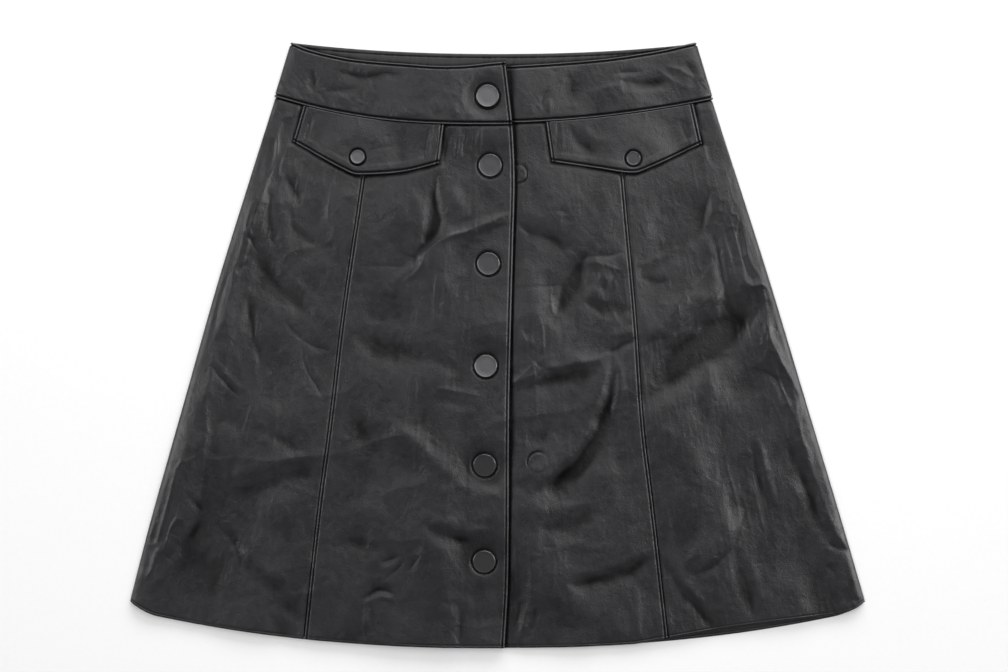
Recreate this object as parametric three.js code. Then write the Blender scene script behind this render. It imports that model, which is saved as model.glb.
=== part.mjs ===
// A-line mini skirt in soft black leather, snapped shut and laid flat with its front up.
//
// Millimetres. +X runs to the wearer's left, +Y to the waist and +Z up from the surface
// that the skirt lies on. The origin is on that surface, under the middle of the skirt.
// Right and left are the wearer's. The right front laps over the left front.
import * as THREE from "three";

// Driving dimensions of the cut
const HALF_LENGTH = 241.8; // half of the skirt's length, hem to waist corner
const HALF_HEM = 294; // half of the hem's width, laid flat
const HEM_RISE = 30.4; // how far the hem climbs from its middle to the side seams
const HEM_CURVE = 2.27; // power of the hem's curve
const HEM_CORNER = 24; // stretch beside a side seam where the hem turns up
const CORNER_LIFT = 7; // how far it turns up there
const HEM_STEP = { from: 110, to: 286, height: 5.5 }; // the back hem shows below the front
const HEM_TUCK = { from: 60, to: 120, height: 1.8 }; // right of this it hides above it
const UNDERLAP_EDGE = -27; // free edge of the left front, hidden under the right front
const CLIMB = [UNDERLAP_EDGE - 32, UNDERLAP_EDGE - 4]; // x where the right front climbs it
const SNAP_INSET = 18.5; // from the overlap's edge in to the row of snaps

// Walls and gaps
const LEATHER = 1.2; // one panel
const BAND_WALL = 2.2; // front waistband, two leathers glued
const FLAP_WALL = 1.4; // pocket flap
const SEAM = 0.3; // gap between neighbouring pieces

// Heights of the middle of each wall above the surface
const BACK_Z = LEATHER / 2;
const FACING_Z = BACK_Z + LEATHER + SEAM;
const SIDE_SEAM_Z = 2.7; // where front and back meet at the sides
const SIDE_SEAM = 1; // between the middles of their walls there, which lean together
const FRONT_Z = 3; // front panels where the snaps and flaps press them down
const FRONT_AIR = 0.9; // how much higher they lie elsewhere
const WAIST_RISE = 0.5; // how much higher they lie at the waist seam
const OVERLAP_WAIST_RISE = 1; // how much more the overlap climbs there, to meet its band
const LOWEST_FRONT_Z = 2.2; // floor of the deepest fold
const BAND_Z = 4.7; // front waistband

// The soft roll of leather along the side seams
const ROLL = 5; // width of the turn itself
const ROLL_ANGLES = [0, 30, 60, 90]; // stations round the turn, in degrees
const PUFF = 2; // height of the swell beside it
const PUFF_AT = 14; // distance of the swell's crest from the side
const PUFF_WIDTH = 16;

// Snap fasteners: a cap outside, a socket under the overlap, a stud on the underlap
const SNAP_LEVELS = [143.4, 65, -16.6, -95.8, -172.6]; // down the overlap
const BAND_SNAP_LEVEL = 198.6;
const MAIN_SNAP = { cap: 9, dome: 2, socket: 6.2, bore: 3, stud: 5.6, knob: 2.6 };
const FLAP_SNAP = { cap: 5.5, dome: 1.6, socket: 4.6, bore: 2.3, stud: 4.2, knob: 1.9 };
const STUD_BASE = 0.6;
const SOCKET_TALL = 1;
const SNAP_STACK = STUD_BASE + SOCKET_TALL + 3 * SEAM; // from underlap to overlap

// Outline of the skirt: x of each side edge, and of each princess seam, at heights y
const SIDE_EDGES = [
  { y: -206, right: -294, left: 294 },
  { y: -140, right: -277, left: 274.8 },
  { y: -44, right: -250, left: 246 },
  { y: 52, right: -222.8, left: 217.2 },
  { y: 132, right: -198, left: 191.8 },
  { y: 198.6, right: -177.2, left: 170.6 },
  { y: 241.8, right: -164, left: 157.8 },
];
const PRINCESS_SEAMS = [
  { y: -240, right: -155, left: 136.6 },
  { y: -127, right: -142.8, left: 123.9 },
  { y: -66, right: -134.8, left: 116.6 },
  { y: 23, right: -124.4, left: 110.4 },
  { y: 134, right: -108.4, left: 100.4 },
  { y: 190, right: -102.5, left: 96 },
];
const OVERLAP_EDGE = [
  { y: -241, x: 4.8 },
  { y: -188, x: 7.6 },
  { y: -44, x: 8.6 },
  { y: 80, x: 11.6 },
  { y: 132, x: 12.8 },
  { y: 177, x: 10.8 },
  { y: 226, x: 5.2 },
];

// Seams and edges that dip towards the middle: y at their lowest, x of that place, and
// how far they rise over a reach to one side, with the power of the curve
const WAIST_SEAMS = {
  right: { low: 177, at: -14, rise: 21.6, reach: 163, curve: 2.3 },
  left: { low: 178, at: -14, rise: 20.6, reach: 185, curve: 2 },
  back: { low: 189, at: 0, rise: 9.6, reach: 174, curve: 2.2 },
};
const BACK_BAND_TOP = { low: 233, at: 0, rise: 8.8, reach: 164, curve: 2.2 };

// Upper edges of the front waistband's two ends
const BAND_TOP_RIGHT = [
  { x: -164, y: 241.8 },
  { x: -150, y: 236.2 },
  { x: -118, y: 229 },
  { x: -80, y: 225.2 },
  { x: -38, y: 222.6 },
  { x: 6, y: 226.2 },
];
const BAND_TOP_LEFT = [
  { x: -30, y: 222.6 },
  { x: 12, y: 223.4 },
  { x: 50, y: 225.8 },
  { x: 90, y: 229.4 },
  { x: 130, y: 235.6 },
  { x: 157.8, y: 241.8 },
];

// Pocket flaps: the lower edge with its blunt point, the two sides and the snap
const FLAPS = {
  right: {
    foot: [
      { x: -162, y: 163.4 },
      { x: -117, y: 138.4 },
      { x: -106, y: 137 },
      { x: -74, y: 139.4 },
      { x: -47.6, y: 145.8 },
    ],
    right: [{ y: 163, x: -162 }, { y: 193, x: -153.2 }],
    left: [{ y: 146, x: -47.6 }, { y: 177, x: -43.6 }],
    snap: { x: -111.6, y: 150.2 },
  },
  left: {
    foot: [
      { x: 44.4, y: 147.4 },
      { x: 82, y: 141.8 },
      { x: 103, y: 138.6 },
      { x: 114, y: 139.6 },
      { x: 162, y: 161.8 },
    ],
    right: [{ y: 147, x: 44.4 }, { y: 180, x: 39.6 }],
    left: [{ y: 162, x: 162 }, { y: 194, x: 154.8 }],
    snap: { x: 108.4, y: 149 },
  },
};

// Stretches over which one height eases into the next, from a start to an end
const EASE = {
  waist: [0, 24], // below the waist seam, where the panels stand up to meet it
  flaps: [50, 70], // below it, where the flaps no longer press the panels down
  sideTurn: [0, 60], // below it, where the side seams turn edge to edge
  underlap: [10, 34], // x over which the left front comes free of the snaps
  overlap: [-24, -46], // x over which the right front does
  snap: [16, 28], // away from a snap of the overlap
  flapSnap: [20, 42], // away from a flap's snap
};

// The largest folds: a line from (x0, y0) to (x1, y1) whose middle bows sideways,
// with its half width and its height, negative for a trough
const RIGHT_FOLDS = [
  { x0: -46, y0: 134, x1: -64, y1: 66, bow: 5, width: 9, height: -2 },
  { x0: -60, y0: 72, x1: 4, y1: 104, bow: 4, width: 8, height: 2.2 },
  { x0: -128, y0: -53, x1: -38, y1: -116, bow: 0, width: 13, height: -1.8 },
  { x0: -82, y0: -66, x1: -34, y1: -106, bow: 0, width: 12, height: 2 },
  { x0: -194, y0: 72, x1: -158, y1: 32, bow: 0, width: 12, height: -1.6 },
  { x0: -134, y0: -100, x1: -214, y1: -124, bow: 0, width: 14, height: -1.6 },
  { x0: -228, y0: -24, x1: -274, y1: -196, bow: -6, width: 10, height: 1.6 },
];
const LEFT_FOLDS = [
  { x0: 18, y0: -31, x1: 82, y1: -12, bow: 3, width: 10, height: -1.8 },
  { x0: 90, y0: -14, x1: 24, y1: -110, bow: -14, width: 13, height: 2.4 },
  { x0: 58, y0: -192, x1: 118, y1: -174, bow: 0, width: 12, height: -1.6 },
  { x0: 130, y0: -34, x1: 206, y1: 28, bow: 0, width: 13, height: -1.8 },
  { x0: 118, y0: 12, x1: 180, y1: 46, bow: 0, width: 11, height: 2 },
  { x0: 72, y0: 70, x1: 50, y1: 28, bow: -4, width: 12, height: -1.6 },
  { x0: 230, y0: -76, x1: 266, y1: -160, bow: 0, width: 10, height: -1.6 },
  { x0: 154, y0: -180, x1: 196, y1: -132, bow: -6, width: 11, height: 1.8 },
];

// Finishes
const BLACK_LEATHER = { color: 0x2c2b2a, roughness: 0.48, metalness: 0 };
const LEATHER_INSIDE = { color: 0x2a2827, roughness: 0.75, metalness: 0 };
const GUNMETAL = { color: 0x6d6c6b, roughness: 0.5, metalness: 0.85 };
const DARK_STEEL = { color: 0x4a4a4b, roughness: 0.45, metalness: 0.9 };

const skirt = new THREE.Group();

function addPiece(name, geometry, finish) {
  const piece = new THREE.Mesh(geometry, new THREE.MeshStandardMaterial(finish));
  piece.name = name;
  skirt.add(piece);
}

// A smooth curve through a table's rows, giving one column for any value of another.
// Past the table's ends the curve runs on straight.
function trace(rows, from, to) {
  const slopeAt = (i) => {
    const before = rows[Math.max(i - 1, 0)];
    const after = rows[Math.min(i + 1, rows.length - 1)];
    return (after[to] - before[to]) / (after[from] - before[from]);
  };
  return (value) => {
    const last = rows.length - 1;
    if (value <= rows[0][from]) {
      return rows[0][to] + slopeAt(0) * (value - rows[0][from]);
    }
    if (value >= rows[last][from]) {
      return rows[last][to] + slopeAt(last) * (value - rows[last][from]);
    }
    const i = rows.findIndex((row) => row[from] > value) - 1;
    const step = rows[i + 1][from] - rows[i][from];
    const t = (value - rows[i][from]) / step;
    const rise = rows[i + 1][to] - rows[i][to];
    const ease = t * t * (3 - 2 * t);
    const startBend = t * (1 - t) * (1 - t) * step * slopeAt(i);
    const endBend = t * t * (t - 1) * step * slopeAt(i + 1);
    return rows[i][to] + rise * ease + startBend + endBend;
  };
}

const sideEdge = {
  right: trace(SIDE_EDGES, "y", "right"),
  left: trace(SIDE_EDGES, "y", "left"),
};
const princess = {
  right: trace(PRINCESS_SEAMS, "y", "right"),
  left: trace(PRINCESS_SEAMS, "y", "left"),
};
const overlapEdge = trace(OVERLAP_EDGE, "y", "x");

const mix = THREE.MathUtils.lerp;

// 0 before a stretch, 1 past it, and a smooth change between
function past(value, [start, end]) {
  return THREE.MathUtils.smoothstep((value - start) / (end - start), 0, 1);
}

// Hems. The front one stands a little above the back one on the left half, and the
// back one a little above the front one on the right half.
function hemLine(x) {
  const climb = HEM_RISE * (Math.abs(x) / HALF_HEM) ** HEM_CURVE;
  const corner = Math.max(0, (Math.abs(x) - HALF_HEM + HEM_CORNER) / HEM_CORNER);
  return -HALF_LENGTH + climb + CORNER_LIFT * corner * corner;
}

function frontHem(x) {
  const t = THREE.MathUtils.clamp((x - HEM_STEP.from) / (HEM_STEP.to - HEM_STEP.from), 0, 1);
  return hemLine(x) + HEM_STEP.height * Math.sin(Math.PI * t);
}

function backHem(x) {
  const tuck = 1 - past(x, [HEM_TUCK.from, HEM_TUCK.to]);
  return hemLine(x) + HEM_TUCK.height * tuck;
}

const dipping = (edge) => (x) =>
  edge.low + edge.rise * (Math.abs(x - edge.at) / edge.reach) ** edge.curve;

const waistSeam = {
  right: dipping(WAIST_SEAMS.right),
  left: dipping(WAIST_SEAMS.left),
  back: dipping(WAIST_SEAMS.back),
};
const bandTop = {
  right: trace(BAND_TOP_RIGHT, "x", "y"),
  left: trace(BAND_TOP_LEFT, "x", "y"),
  back: dipping(BACK_BAND_TOP),
};

const snapX = (y) => overlapEdge(y) - SNAP_INSET;

// Height of one fold at a point
function foldHeight(fold, x, y) {
  const length = Math.hypot(fold.x1 - fold.x0, fold.y1 - fold.y0);
  const ex = (fold.x1 - fold.x0) / length;
  const ey = (fold.y1 - fold.y0) / length;
  const along = (x - fold.x0) * ex + (y - fold.y0) * ey;
  const across = (y - fold.y0) * ex - (x - fold.x0) * ey;
  const t = THREE.MathUtils.clamp(along / length, 0, 1);
  const pastEnd = along - t * length;
  const away = Math.hypot(across - fold.bow * 4 * t * (1 - t), pastEnd);
  return fold.height * Math.exp(-((away / fold.width) ** 2));
}

// Heights of the walls' middles at a side seam: flat on each other at the waist, and
// turned edge to edge below it
function seamHeight(layer, x, y) {
  const turn = past(waistSeam.back(x) - y, EASE.sideTurn);
  if (layer === "back") {
    return mix(BACK_Z, SIDE_SEAM_Z - SIDE_SEAM / 2, turn);
  }
  return mix(FACING_Z, SIDE_SEAM_Z + SIDE_SEAM / 2, turn);
}

// Turns a wall down, or up, to the side seam over the last few millimetres
function turnToSeam(fromSide, seamZ, faceZ) {
  const reach = 1 - THREE.MathUtils.clamp((fromSide - LEATHER / 2) / (ROLL - LEATHER / 2), 0, 1);
  return seamZ + (faceZ - seamZ) * Math.sqrt(1 - reach * reach);
}

// Height of the middle of a front panel's wall, without the overlap's rise
function frontHeight(x, y, side) {
  const folds = side === "right" ? RIGHT_FOLDS : LEFT_FOLDS;
  const fromSide = Math.abs(sideEdge[side](y) - x);
  const belowWaist = waistSeam[side](x) - y;
  const open = past(belowWaist, EASE.flaps);
  const clearOfSnaps = past(x, side === "left" ? EASE.underlap : EASE.overlap);
  let z = FRONT_Z + FRONT_AIR * open * clearOfSnaps;
  z += WAIST_RISE * (1 - past(belowWaist, EASE.waist));
  z += PUFF * open * Math.exp(-(((fromSide - PUFF_AT) / PUFF_WIDTH) ** 2));
  for (const fold of folds) {
    z += foldHeight(fold, x, y) * open * (side === "left" ? clearOfSnaps : 1);
  }
  return turnToSeam(fromSide, seamHeight("front", x, y), Math.max(z, LOWEST_FRONT_Z));
}

// Height of the right front, which climbs over the underlap and lies level at its snaps
function rightFrontHeight(x, y) {
  const belowWaist = waistSeam.right(x) - y;
  const atWaist = 1 - past(belowWaist, EASE.waist);
  const rise = LEATHER + SNAP_STACK + OVERLAP_WAIST_RISE * atWaist;
  let z = frontHeight(x, y, "right") + rise * past(x, CLIMB);
  for (const level of SNAP_LEVELS) {
    const away = Math.hypot(x - snapX(level), y - level);
    z = mix(z, FRONT_Z + LEATHER + SNAP_STACK, 1 - past(away, EASE.snap));
  }
  return z;
}

function backHeight(x, y) {
  const fromSide = Math.min(x - sideEdge.right(y), sideEdge.left(y) - x);
  return turnToSeam(fromSide, seamHeight("back", x, y), BACK_Z);
}

// Height of a pocket flap: on its panel, lifted round its snap
function flapHeight(x, y, side) {
  const { snap } = FLAPS[side];
  const away = Math.hypot(x - snap.x, y - snap.y);
  const lift = mix(SEAM + 0.2, SNAP_STACK, 1 - past(away, EASE.flapSnap));
  const panel = side === "right" ? rightFrontHeight(x, y) : frontHeight(x, y, side);
  return panel + LEATHER / 2 + lift + FLAP_WALL / 2;
}

// Height of the right end of the front waistband, which laps over the left end
function rightBandHeight(x) {
  return BAND_Z + (BAND_WALL + SNAP_STACK) * past(x, CLIMB);
}

const evenly = (count) => Array.from({ length: count + 1 }, (_, i) => i / count);
const inset = (edge, by) => (value) => edge(value) + by;

// Stations round a side seam's turn, as distances in from the side
const rollStations = ROLL_ANGLES.map(
  (angle) => LEATHER / 2 + (ROLL - LEATHER / 2) * (1 - Math.cos(THREE.MathUtils.degToRad(angle))),
);

// Column fractions for a panel `width` wide that turns to a side seam at one or both sides
function columnsFromSeam(width, count) {
  const rest = evenly(count).slice(1);
  const even = rest.map((t) => ROLL + (width - ROLL) * t);
  return [...rollStations, ...even].map((distance) => distance / width);
}

const mirrored = (fractions) => fractions.map((t) => 1 - t).reverse();

function columnsBetweenSeams(width, count) {
  const half = columnsFromSeam(width / 2, count).map((t) => t / 2);
  return [...half, ...mirrored(half).slice(1)];
}

// A laid piece: a wall of even thickness between two side edges and a foot and a head.
// Its grid follows all four edges, and its faces point out.
function laidPiece({ right, left, foot, head, rows, columns, height, wall }) {
  const middle = rows.map((v) => {
    const line = [];
    const count = columns(1).length;
    for (let j = 0; j < count; j += 1) {
      let x = 0;
      let y = 0;
      for (let pass = 0; pass < 8; pass += 1) {
        y = mix(foot(x), head(x), v);
        x = mix(right(y), left(y), columns(left(y) - right(y))[j]);
      }
      line.push(new THREE.Vector3(x, y, height(x, y)));
    }
    return line;
  });
  return wallFromGrid(middle, wall);
}

function wallFromGrid(middle, wall) {
  const rowCount = middle.length;
  const columnCount = middle[0].length;
  const positions = [];
  for (const outward of [1, -1]) {
    for (let i = 0; i < rowCount; i += 1) {
      for (let j = 0; j < columnCount; j += 1) {
        const normal = gridNormal(middle, i, j);
        positions.push(...middle[i][j].clone().addScaledVector(normal, (outward * wall) / 2).toArray());
      }
    }
  }
  const top = (i, j) => i * columnCount + j;
  const bottom = (i, j) => rowCount * columnCount + i * columnCount + j;
  const faces = [];
  const quad = (a, b, c, d) => faces.push(a, b, c, a, c, d);
  for (let i = 0; i + 1 < rowCount; i += 1) {
    for (let j = 0; j + 1 < columnCount; j += 1) {
      quad(top(i, j), top(i, j + 1), top(i + 1, j + 1), top(i + 1, j));
      quad(bottom(i, j), bottom(i + 1, j), bottom(i + 1, j + 1), bottom(i, j + 1));
    }
    quad(top(i, 0), top(i + 1, 0), bottom(i + 1, 0), bottom(i, 0));
    const j = columnCount - 1;
    quad(top(i + 1, j), top(i, j), bottom(i, j), bottom(i + 1, j));
  }
  for (let j = 0; j + 1 < columnCount; j += 1) {
    const i = rowCount - 1;
    quad(top(0, j + 1), top(0, j), bottom(0, j), bottom(0, j + 1));
    quad(top(i, j), top(i, j + 1), bottom(i, j + 1), bottom(i, j));
  }
  const geometry = new THREE.BufferGeometry();
  geometry.setAttribute("position", new THREE.Float32BufferAttribute(positions, 3));
  geometry.setIndex(faces);
  return geometry;
}

function gridNormal(grid, i, j) {
  const alongRow = new THREE.Vector3().subVectors(
    grid[i][Math.min(j + 1, grid[i].length - 1)],
    grid[i][Math.max(j - 1, 0)],
  );
  const alongColumn = new THREE.Vector3().subVectors(
    grid[Math.min(i + 1, grid.length - 1)][j],
    grid[Math.max(i - 1, 0)][j],
  );
  return alongRow.cross(alongColumn).normalize();
}

// Rows that pass just above and below each snap of the overlap, with even ones between
function rowsPastSnaps(foot, head) {
  const clear = MAIN_SNAP.cap + 1;
  const marks = [foot];
  for (const level of [...SNAP_LEVELS].reverse()) {
    marks.push(level - clear, level + clear);
  }
  marks.push(head);
  const rows = [0];
  for (let i = 1; i < marks.length; i += 1) {
    const steps = Math.max(1, Math.round((marks[i] - marks[i - 1]) / 14));
    for (let s = 1; s <= steps; s += 1) {
      rows.push((mix(marks[i - 1], marks[i], s / steps) - foot) / (head - foot));
    }
  }
  return rows;
}

// Columns of the right centre front, with one pair either side of the snaps
function columnsPastSnaps(width) {
  const clear = MAIN_SNAP.cap + 1.2;
  const fromEdge = [0, SNAP_INSET - clear, SNAP_INSET + clear];
  const rest = evenly(7).slice(1);
  const even = rest.map((t) => mix(SNAP_INSET + clear, width, t));
  return mirrored([...fromEdge, ...even].map((distance) => distance / width));
}

function addFrontPanels() {
  const footY = hemLine(snapX(0));
  const headY = waistSeam.right(snapX(0)) - SEAM;
  const centreRows = rowsPastSnaps(footY, headY);
  addPiece("front_side_right", laidPiece({
    right: sideEdge.right,
    left: inset(princess.right, -SEAM / 2),
    foot: frontHem,
    head: inset(waistSeam.right, -SEAM),
    rows: evenly(26),
    columns: (width) => columnsFromSeam(width, 7),
    height: (x, y) => frontHeight(x, y, "right"),
    wall: LEATHER,
  }), BLACK_LEATHER);
  addPiece("front_centre_right", laidPiece({
    right: inset(princess.right, SEAM / 2),
    left: overlapEdge,
    foot: frontHem,
    head: inset(waistSeam.right, -SEAM),
    rows: centreRows,
    columns: columnsPastSnaps,
    height: rightFrontHeight,
    wall: LEATHER,
  }), BLACK_LEATHER);
  addPiece("front_centre_left", laidPiece({
    right: () => UNDERLAP_EDGE,
    left: inset(princess.left, -SEAM / 2),
    foot: frontHem,
    head: inset(waistSeam.left, -SEAM),
    rows: evenly(28),
    columns: () => evenly(10),
    height: (x, y) => frontHeight(x, y, "left"),
    wall: LEATHER,
  }), BLACK_LEATHER);
  addPiece("front_side_left", laidPiece({
    right: inset(princess.left, SEAM / 2),
    left: sideEdge.left,
    foot: frontHem,
    head: inset(waistSeam.left, -SEAM),
    rows: evenly(26),
    columns: (width) => mirrored(columnsFromSeam(width, 7)),
    height: (x, y) => frontHeight(x, y, "left"),
    wall: LEATHER,
  }), BLACK_LEATHER);
}

function addBackPanel() {
  addPiece("back_panel", laidPiece({
    right: sideEdge.right,
    left: sideEdge.left,
    foot: backHem,
    head: inset(waistSeam.back, -SEAM),
    rows: evenly(7),
    columns: (width) => columnsBetweenSeams(width, 5),
    height: backHeight,
    wall: LEATHER,
  }), BLACK_LEATHER);
}

function addWaistband() {
  const band = { rows: evenly(2), columns: () => evenly(12) };
  addPiece("waistband_back", laidPiece({
    ...band,
    right: sideEdge.right,
    left: sideEdge.left,
    foot: waistSeam.back,
    head: bandTop.back,
    height: () => BACK_Z,
    wall: LEATHER,
  }), BLACK_LEATHER);
  addPiece("waistband_back_facing", laidPiece({
    ...band,
    right: inset(sideEdge.right, 3),
    left: inset(sideEdge.left, -3),
    foot: waistSeam.back,
    head: inset(bandTop.back, -0.8),
    height: () => FACING_Z,
    wall: LEATHER,
  }), LEATHER_INSIDE);
  addPiece("waistband_front_left", laidPiece({
    ...band,
    right: () => UNDERLAP_EDGE,
    left: sideEdge.left,
    foot: waistSeam.left,
    head: bandTop.left,
    height: () => BAND_Z,
    wall: BAND_WALL,
  }), BLACK_LEATHER);
  addPiece("waistband_front_right", laidPiece({
    ...band,
    right: sideEdge.right,
    left: overlapEdge,
    foot: waistSeam.right,
    head: bandTop.right,
    height: rightBandHeight,
    wall: BAND_WALL,
  }), BLACK_LEATHER);
}

function addPocketFlap(side) {
  const cut = FLAPS[side];
  addPiece(`pocket_flap_${side}`, laidPiece({
    right: trace(cut.right, "y", "x"),
    left: trace(cut.left, "y", "x"),
    foot: trace(cut.foot, "x", "y"),
    head: inset(waistSeam[side], -SEAM),
    rows: evenly(4),
    columns: () => evenly(10),
    height: (x, y) => flapHeight(x, y, side),
    wall: FLAP_WALL,
  }), BLACK_LEATHER);
}

// A turned part standing on +Z, from a profile of radii and heights
function turned(profile, sides) {
  const points = profile.map(([radius, height]) => new THREE.Vector2(radius, height));
  return new THREE.LatheGeometry(points, sides).rotateX(Math.PI / 2);
}

function addSnap({ name, x, y, underTop, overTop, size }) {
  const studZ = underTop + SEAM;
  const socketZ = studZ + STUD_BASE + SEAM;
  const knobTop = STUD_BASE + SEAM + SOCKET_TALL - 0.2;
  const stud = turned([
    [0, 0],
    [size.stud, 0],
    [size.stud, STUD_BASE],
    [size.knob, STUD_BASE],
    [size.knob, knobTop],
    [0, knobTop],
  ], 12);
  addPiece(`${name}_stud`, stud.translate(x, y, studZ), DARK_STEEL);
  const socket = turned([
    [size.bore, 0],
    [size.socket, 0],
    [size.socket, SOCKET_TALL],
    [size.bore, SOCKET_TALL],
    [size.bore, 0],
  ], 12);
  addPiece(`${name}_socket`, socket.translate(x, y, socketZ), DARK_STEEL);
  const cap = turned([
    [0, 0],
    [size.cap - 0.3, 0],
    [size.cap, size.dome * 0.4],
    [size.cap * 0.9, size.dome * 0.8],
    [size.cap * 0.6, size.dome],
    [0, size.dome],
  ], 18);
  addPiece(`${name}_cap`, cap.translate(x, y, overTop + SEAM), GUNMETAL);
}

function addSnaps() {
  addSnap({
    name: "snap_1",
    x: snapX(BAND_SNAP_LEVEL),
    y: BAND_SNAP_LEVEL,
    underTop: BAND_Z + BAND_WALL / 2,
    overTop: BAND_Z + BAND_WALL * 1.5 + SNAP_STACK,
    size: MAIN_SNAP,
  });
  SNAP_LEVELS.forEach((y, index) => {
    addSnap({
      name: `snap_${index + 2}`,
      x: snapX(y),
      y,
      underTop: FRONT_Z + LEATHER / 2,
      overTop: FRONT_Z + LEATHER * 1.5 + SNAP_STACK,
      size: MAIN_SNAP,
    });
  });
  for (const [side, { snap }] of Object.entries(FLAPS)) {
    addSnap({
      name: `flap_snap_${side}`,
      x: snap.x,
      y: snap.y,
      underTop: FRONT_Z + LEATHER / 2,
      overTop: FRONT_Z + LEATHER / 2 + SNAP_STACK + FLAP_WALL,
      size: FLAP_SNAP,
    });
  }
}

addBackPanel();
addFrontPanels();
addWaistband();
addPocketFlap("right");
addPocketFlap("left");
addSnaps();

export default skirt;
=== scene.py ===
"""Looks of the black leather A-line skirt, laid flat with its front up.

Sizes of the cut are in millimetres and turn to metres where a mesh is made. Lamps, camera,
sheets and boxes are in metres. +X runs to the wearer's left, +Y to the waist and +Z up.
Right and left are the wearer's.
"""

import math
from functools import partial

import bpy
import numpy as np
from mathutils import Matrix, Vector


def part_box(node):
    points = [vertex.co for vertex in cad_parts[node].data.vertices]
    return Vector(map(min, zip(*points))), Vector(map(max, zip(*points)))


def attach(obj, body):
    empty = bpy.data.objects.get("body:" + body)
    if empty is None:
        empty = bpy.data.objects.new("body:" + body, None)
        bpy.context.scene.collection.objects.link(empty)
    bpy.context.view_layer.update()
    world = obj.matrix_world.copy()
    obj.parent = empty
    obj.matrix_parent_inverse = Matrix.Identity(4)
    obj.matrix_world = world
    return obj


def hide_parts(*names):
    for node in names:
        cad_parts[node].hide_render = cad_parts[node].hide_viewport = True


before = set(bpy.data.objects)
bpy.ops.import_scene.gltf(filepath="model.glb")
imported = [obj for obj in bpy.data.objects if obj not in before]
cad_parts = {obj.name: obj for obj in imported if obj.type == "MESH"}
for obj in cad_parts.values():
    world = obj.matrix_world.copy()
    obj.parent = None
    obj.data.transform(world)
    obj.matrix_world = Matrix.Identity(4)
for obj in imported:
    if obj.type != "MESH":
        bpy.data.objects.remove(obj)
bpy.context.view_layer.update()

MM = 0.001

# ---------------------------------------------------------------- sizes of the cut

HALF_LENGTH = 241.8  # half of the skirt's length, hem to waist corner
HALF_HEM = 294.0  # half of the hem's width, laid flat
HEM_RISE = 30.4  # how far the hem climbs from its middle to the side seams
HEM_CURVE = 2.27  # power of the hem's curve
HEM_CORNER = 24.0  # stretch beside a side seam where the hem turns up
CORNER_LIFT = 7.0  # how far it turns up there
HEM_STEP = (110.0, 286.0, 5.5)  # x from, to, height: the back hem shows below the front's
HEM_TUCK = (60.0, 120.0, 1.8)  # x from, to, height: until here it hides above the front's
UNDERLAP_EDGE = -27.0  # free edge of the left front, under the right front
LIFT = (-110.0, -29.0)  # x over which the right front and its band climb onto it
OVERLAP_FACING = 33.0  # width of the leather turned back under the overlap's edge
FLAP_ALLOWANCE = 8.0  # and under a flap's edges
SEAM = 0.3  # gap between neighbouring pieces

PANEL_WALL = 1.2
BAND_WALL = 2.2  # front waistband, two leathers glued
FLAP_WALL = 1.4

# Heights of the middles of the walls above the surface
BACK_Z = PANEL_WALL / 2
FACING_Z = BACK_Z + PANEL_WALL + SEAM
SIDE_SEAM_Z = 2.7  # where front and back meet at the sides
SIDE_SEAM = 1.0  # between the middles of their walls there
SIDE_SEAM_EASE = 60.0  # stretch below the waist over which they come together
FRONT_Z = 3.0
FRONT_AIR = 1.5  # how much higher the fronts lie away from their edges
AIR_OPENS = (16.0, 104.0)  # from, to: below the waist seam
AIR_BESIDE_OVERLAP = {"left": (6.0, 34.0), "right": (-24.0, -46.0)}  # from, to: x
WAIST_RISE = 0.5  # how much higher they lie at the waist seam
OVERLAP_WAIST_RISE = 1.0  # how much more the overlap climbs there, to meet its band
WAIST_EASE = 24.0  # stretch below the waist seam over which these two end
LOWEST_FRONT_Z = 2.2  # floor of the deepest fold
FLOOR_SOFTNESS = 0.16  # in square millimetres: how softly a fold meets that floor
BAND_Z = 4.7
SNAP_STACK = 2.5  # from the underlap's face up to the overlap's underside
FLAP_LIFT = 0.5  # from a panel's face up to a flap's underside, away from its snap
FLAP_CALM = 0.6  # share of a flap's creases that its snap presses flat

ROLL = 5.0  # width of the turn at a side seam
PUFF = 2.0  # height of the swell beside it
PUFF_AT = 14.0  # from the side seam to the middle of that swell
PUFF_WIDTH = 16.0
BAND_TURN = 8.0  # width of the turn at the waistband's sides
BAND_TURN_DROP = 2.3

# From, to: distances from a snap over which the leather is free of its press
SNAP_PRESS = (10.5, 26.0)
BAND_SNAP_PRESS = (10.5, 22.0)
FLAP_SNAP_PRESS = (16.0, 40.0)

# x of each side edge and princess seam at heights y, as (y, right, left)
SIDE_EDGES = [
    (-206, -294, 294),
    (-140, -277, 274.8),
    (-44, -250, 246),
    (52, -222.8, 217.2),
    (132, -198, 191.8),
    (198.6, -177.2, 170.6),
    (241.8, -164, 157.8),
]
PRINCESS_SEAMS = [
    (-240, -155.3, 137),
    (-127, -143, 124.3),
    (-66, -134.9, 117),
    (23, -124.4, 110.8),
    (134, -108.4, 100.9),
    (190, -102.5, 96.6),
]
# (y, x) of the overlap's free edge
OVERLAP_EDGE = [
    (-241, 5.8),
    (-188, 8.6),
    (-44, 9.6),
    (80, 12.6),
    (132, 13.8),
    (177, 11.8),
    (226, 6.4),
]
# (lowest y, x there, rise, over this reach, power)
WAIST_SEAMS = {
    "right": (175.6, -14, 22.4, 163, 2.3),
    "left": (177, -14, 19, 185, 2),
    "back": (189, 0, 9.6, 174, 2.2),
}
BACK_BAND_TOP = (233, 0, 8.8, 164, 2.2)
# (x, y) of the upper edges of the front waistband's two ends
BAND_TOPS = {
    "right": [
        (-164, 241.8),
        (-150, 236.2),
        (-118, 229),
        (-80, 225.2),
        (-38, 222.6),
        (6, 226.2),
    ],
    "left": [
        (-30, 222.6),
        (12, 223.4),
        (50, 225.8),
        (90, 229.4),
        (130, 235.6),
        (157.8, 241.8),
    ],
}
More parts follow.
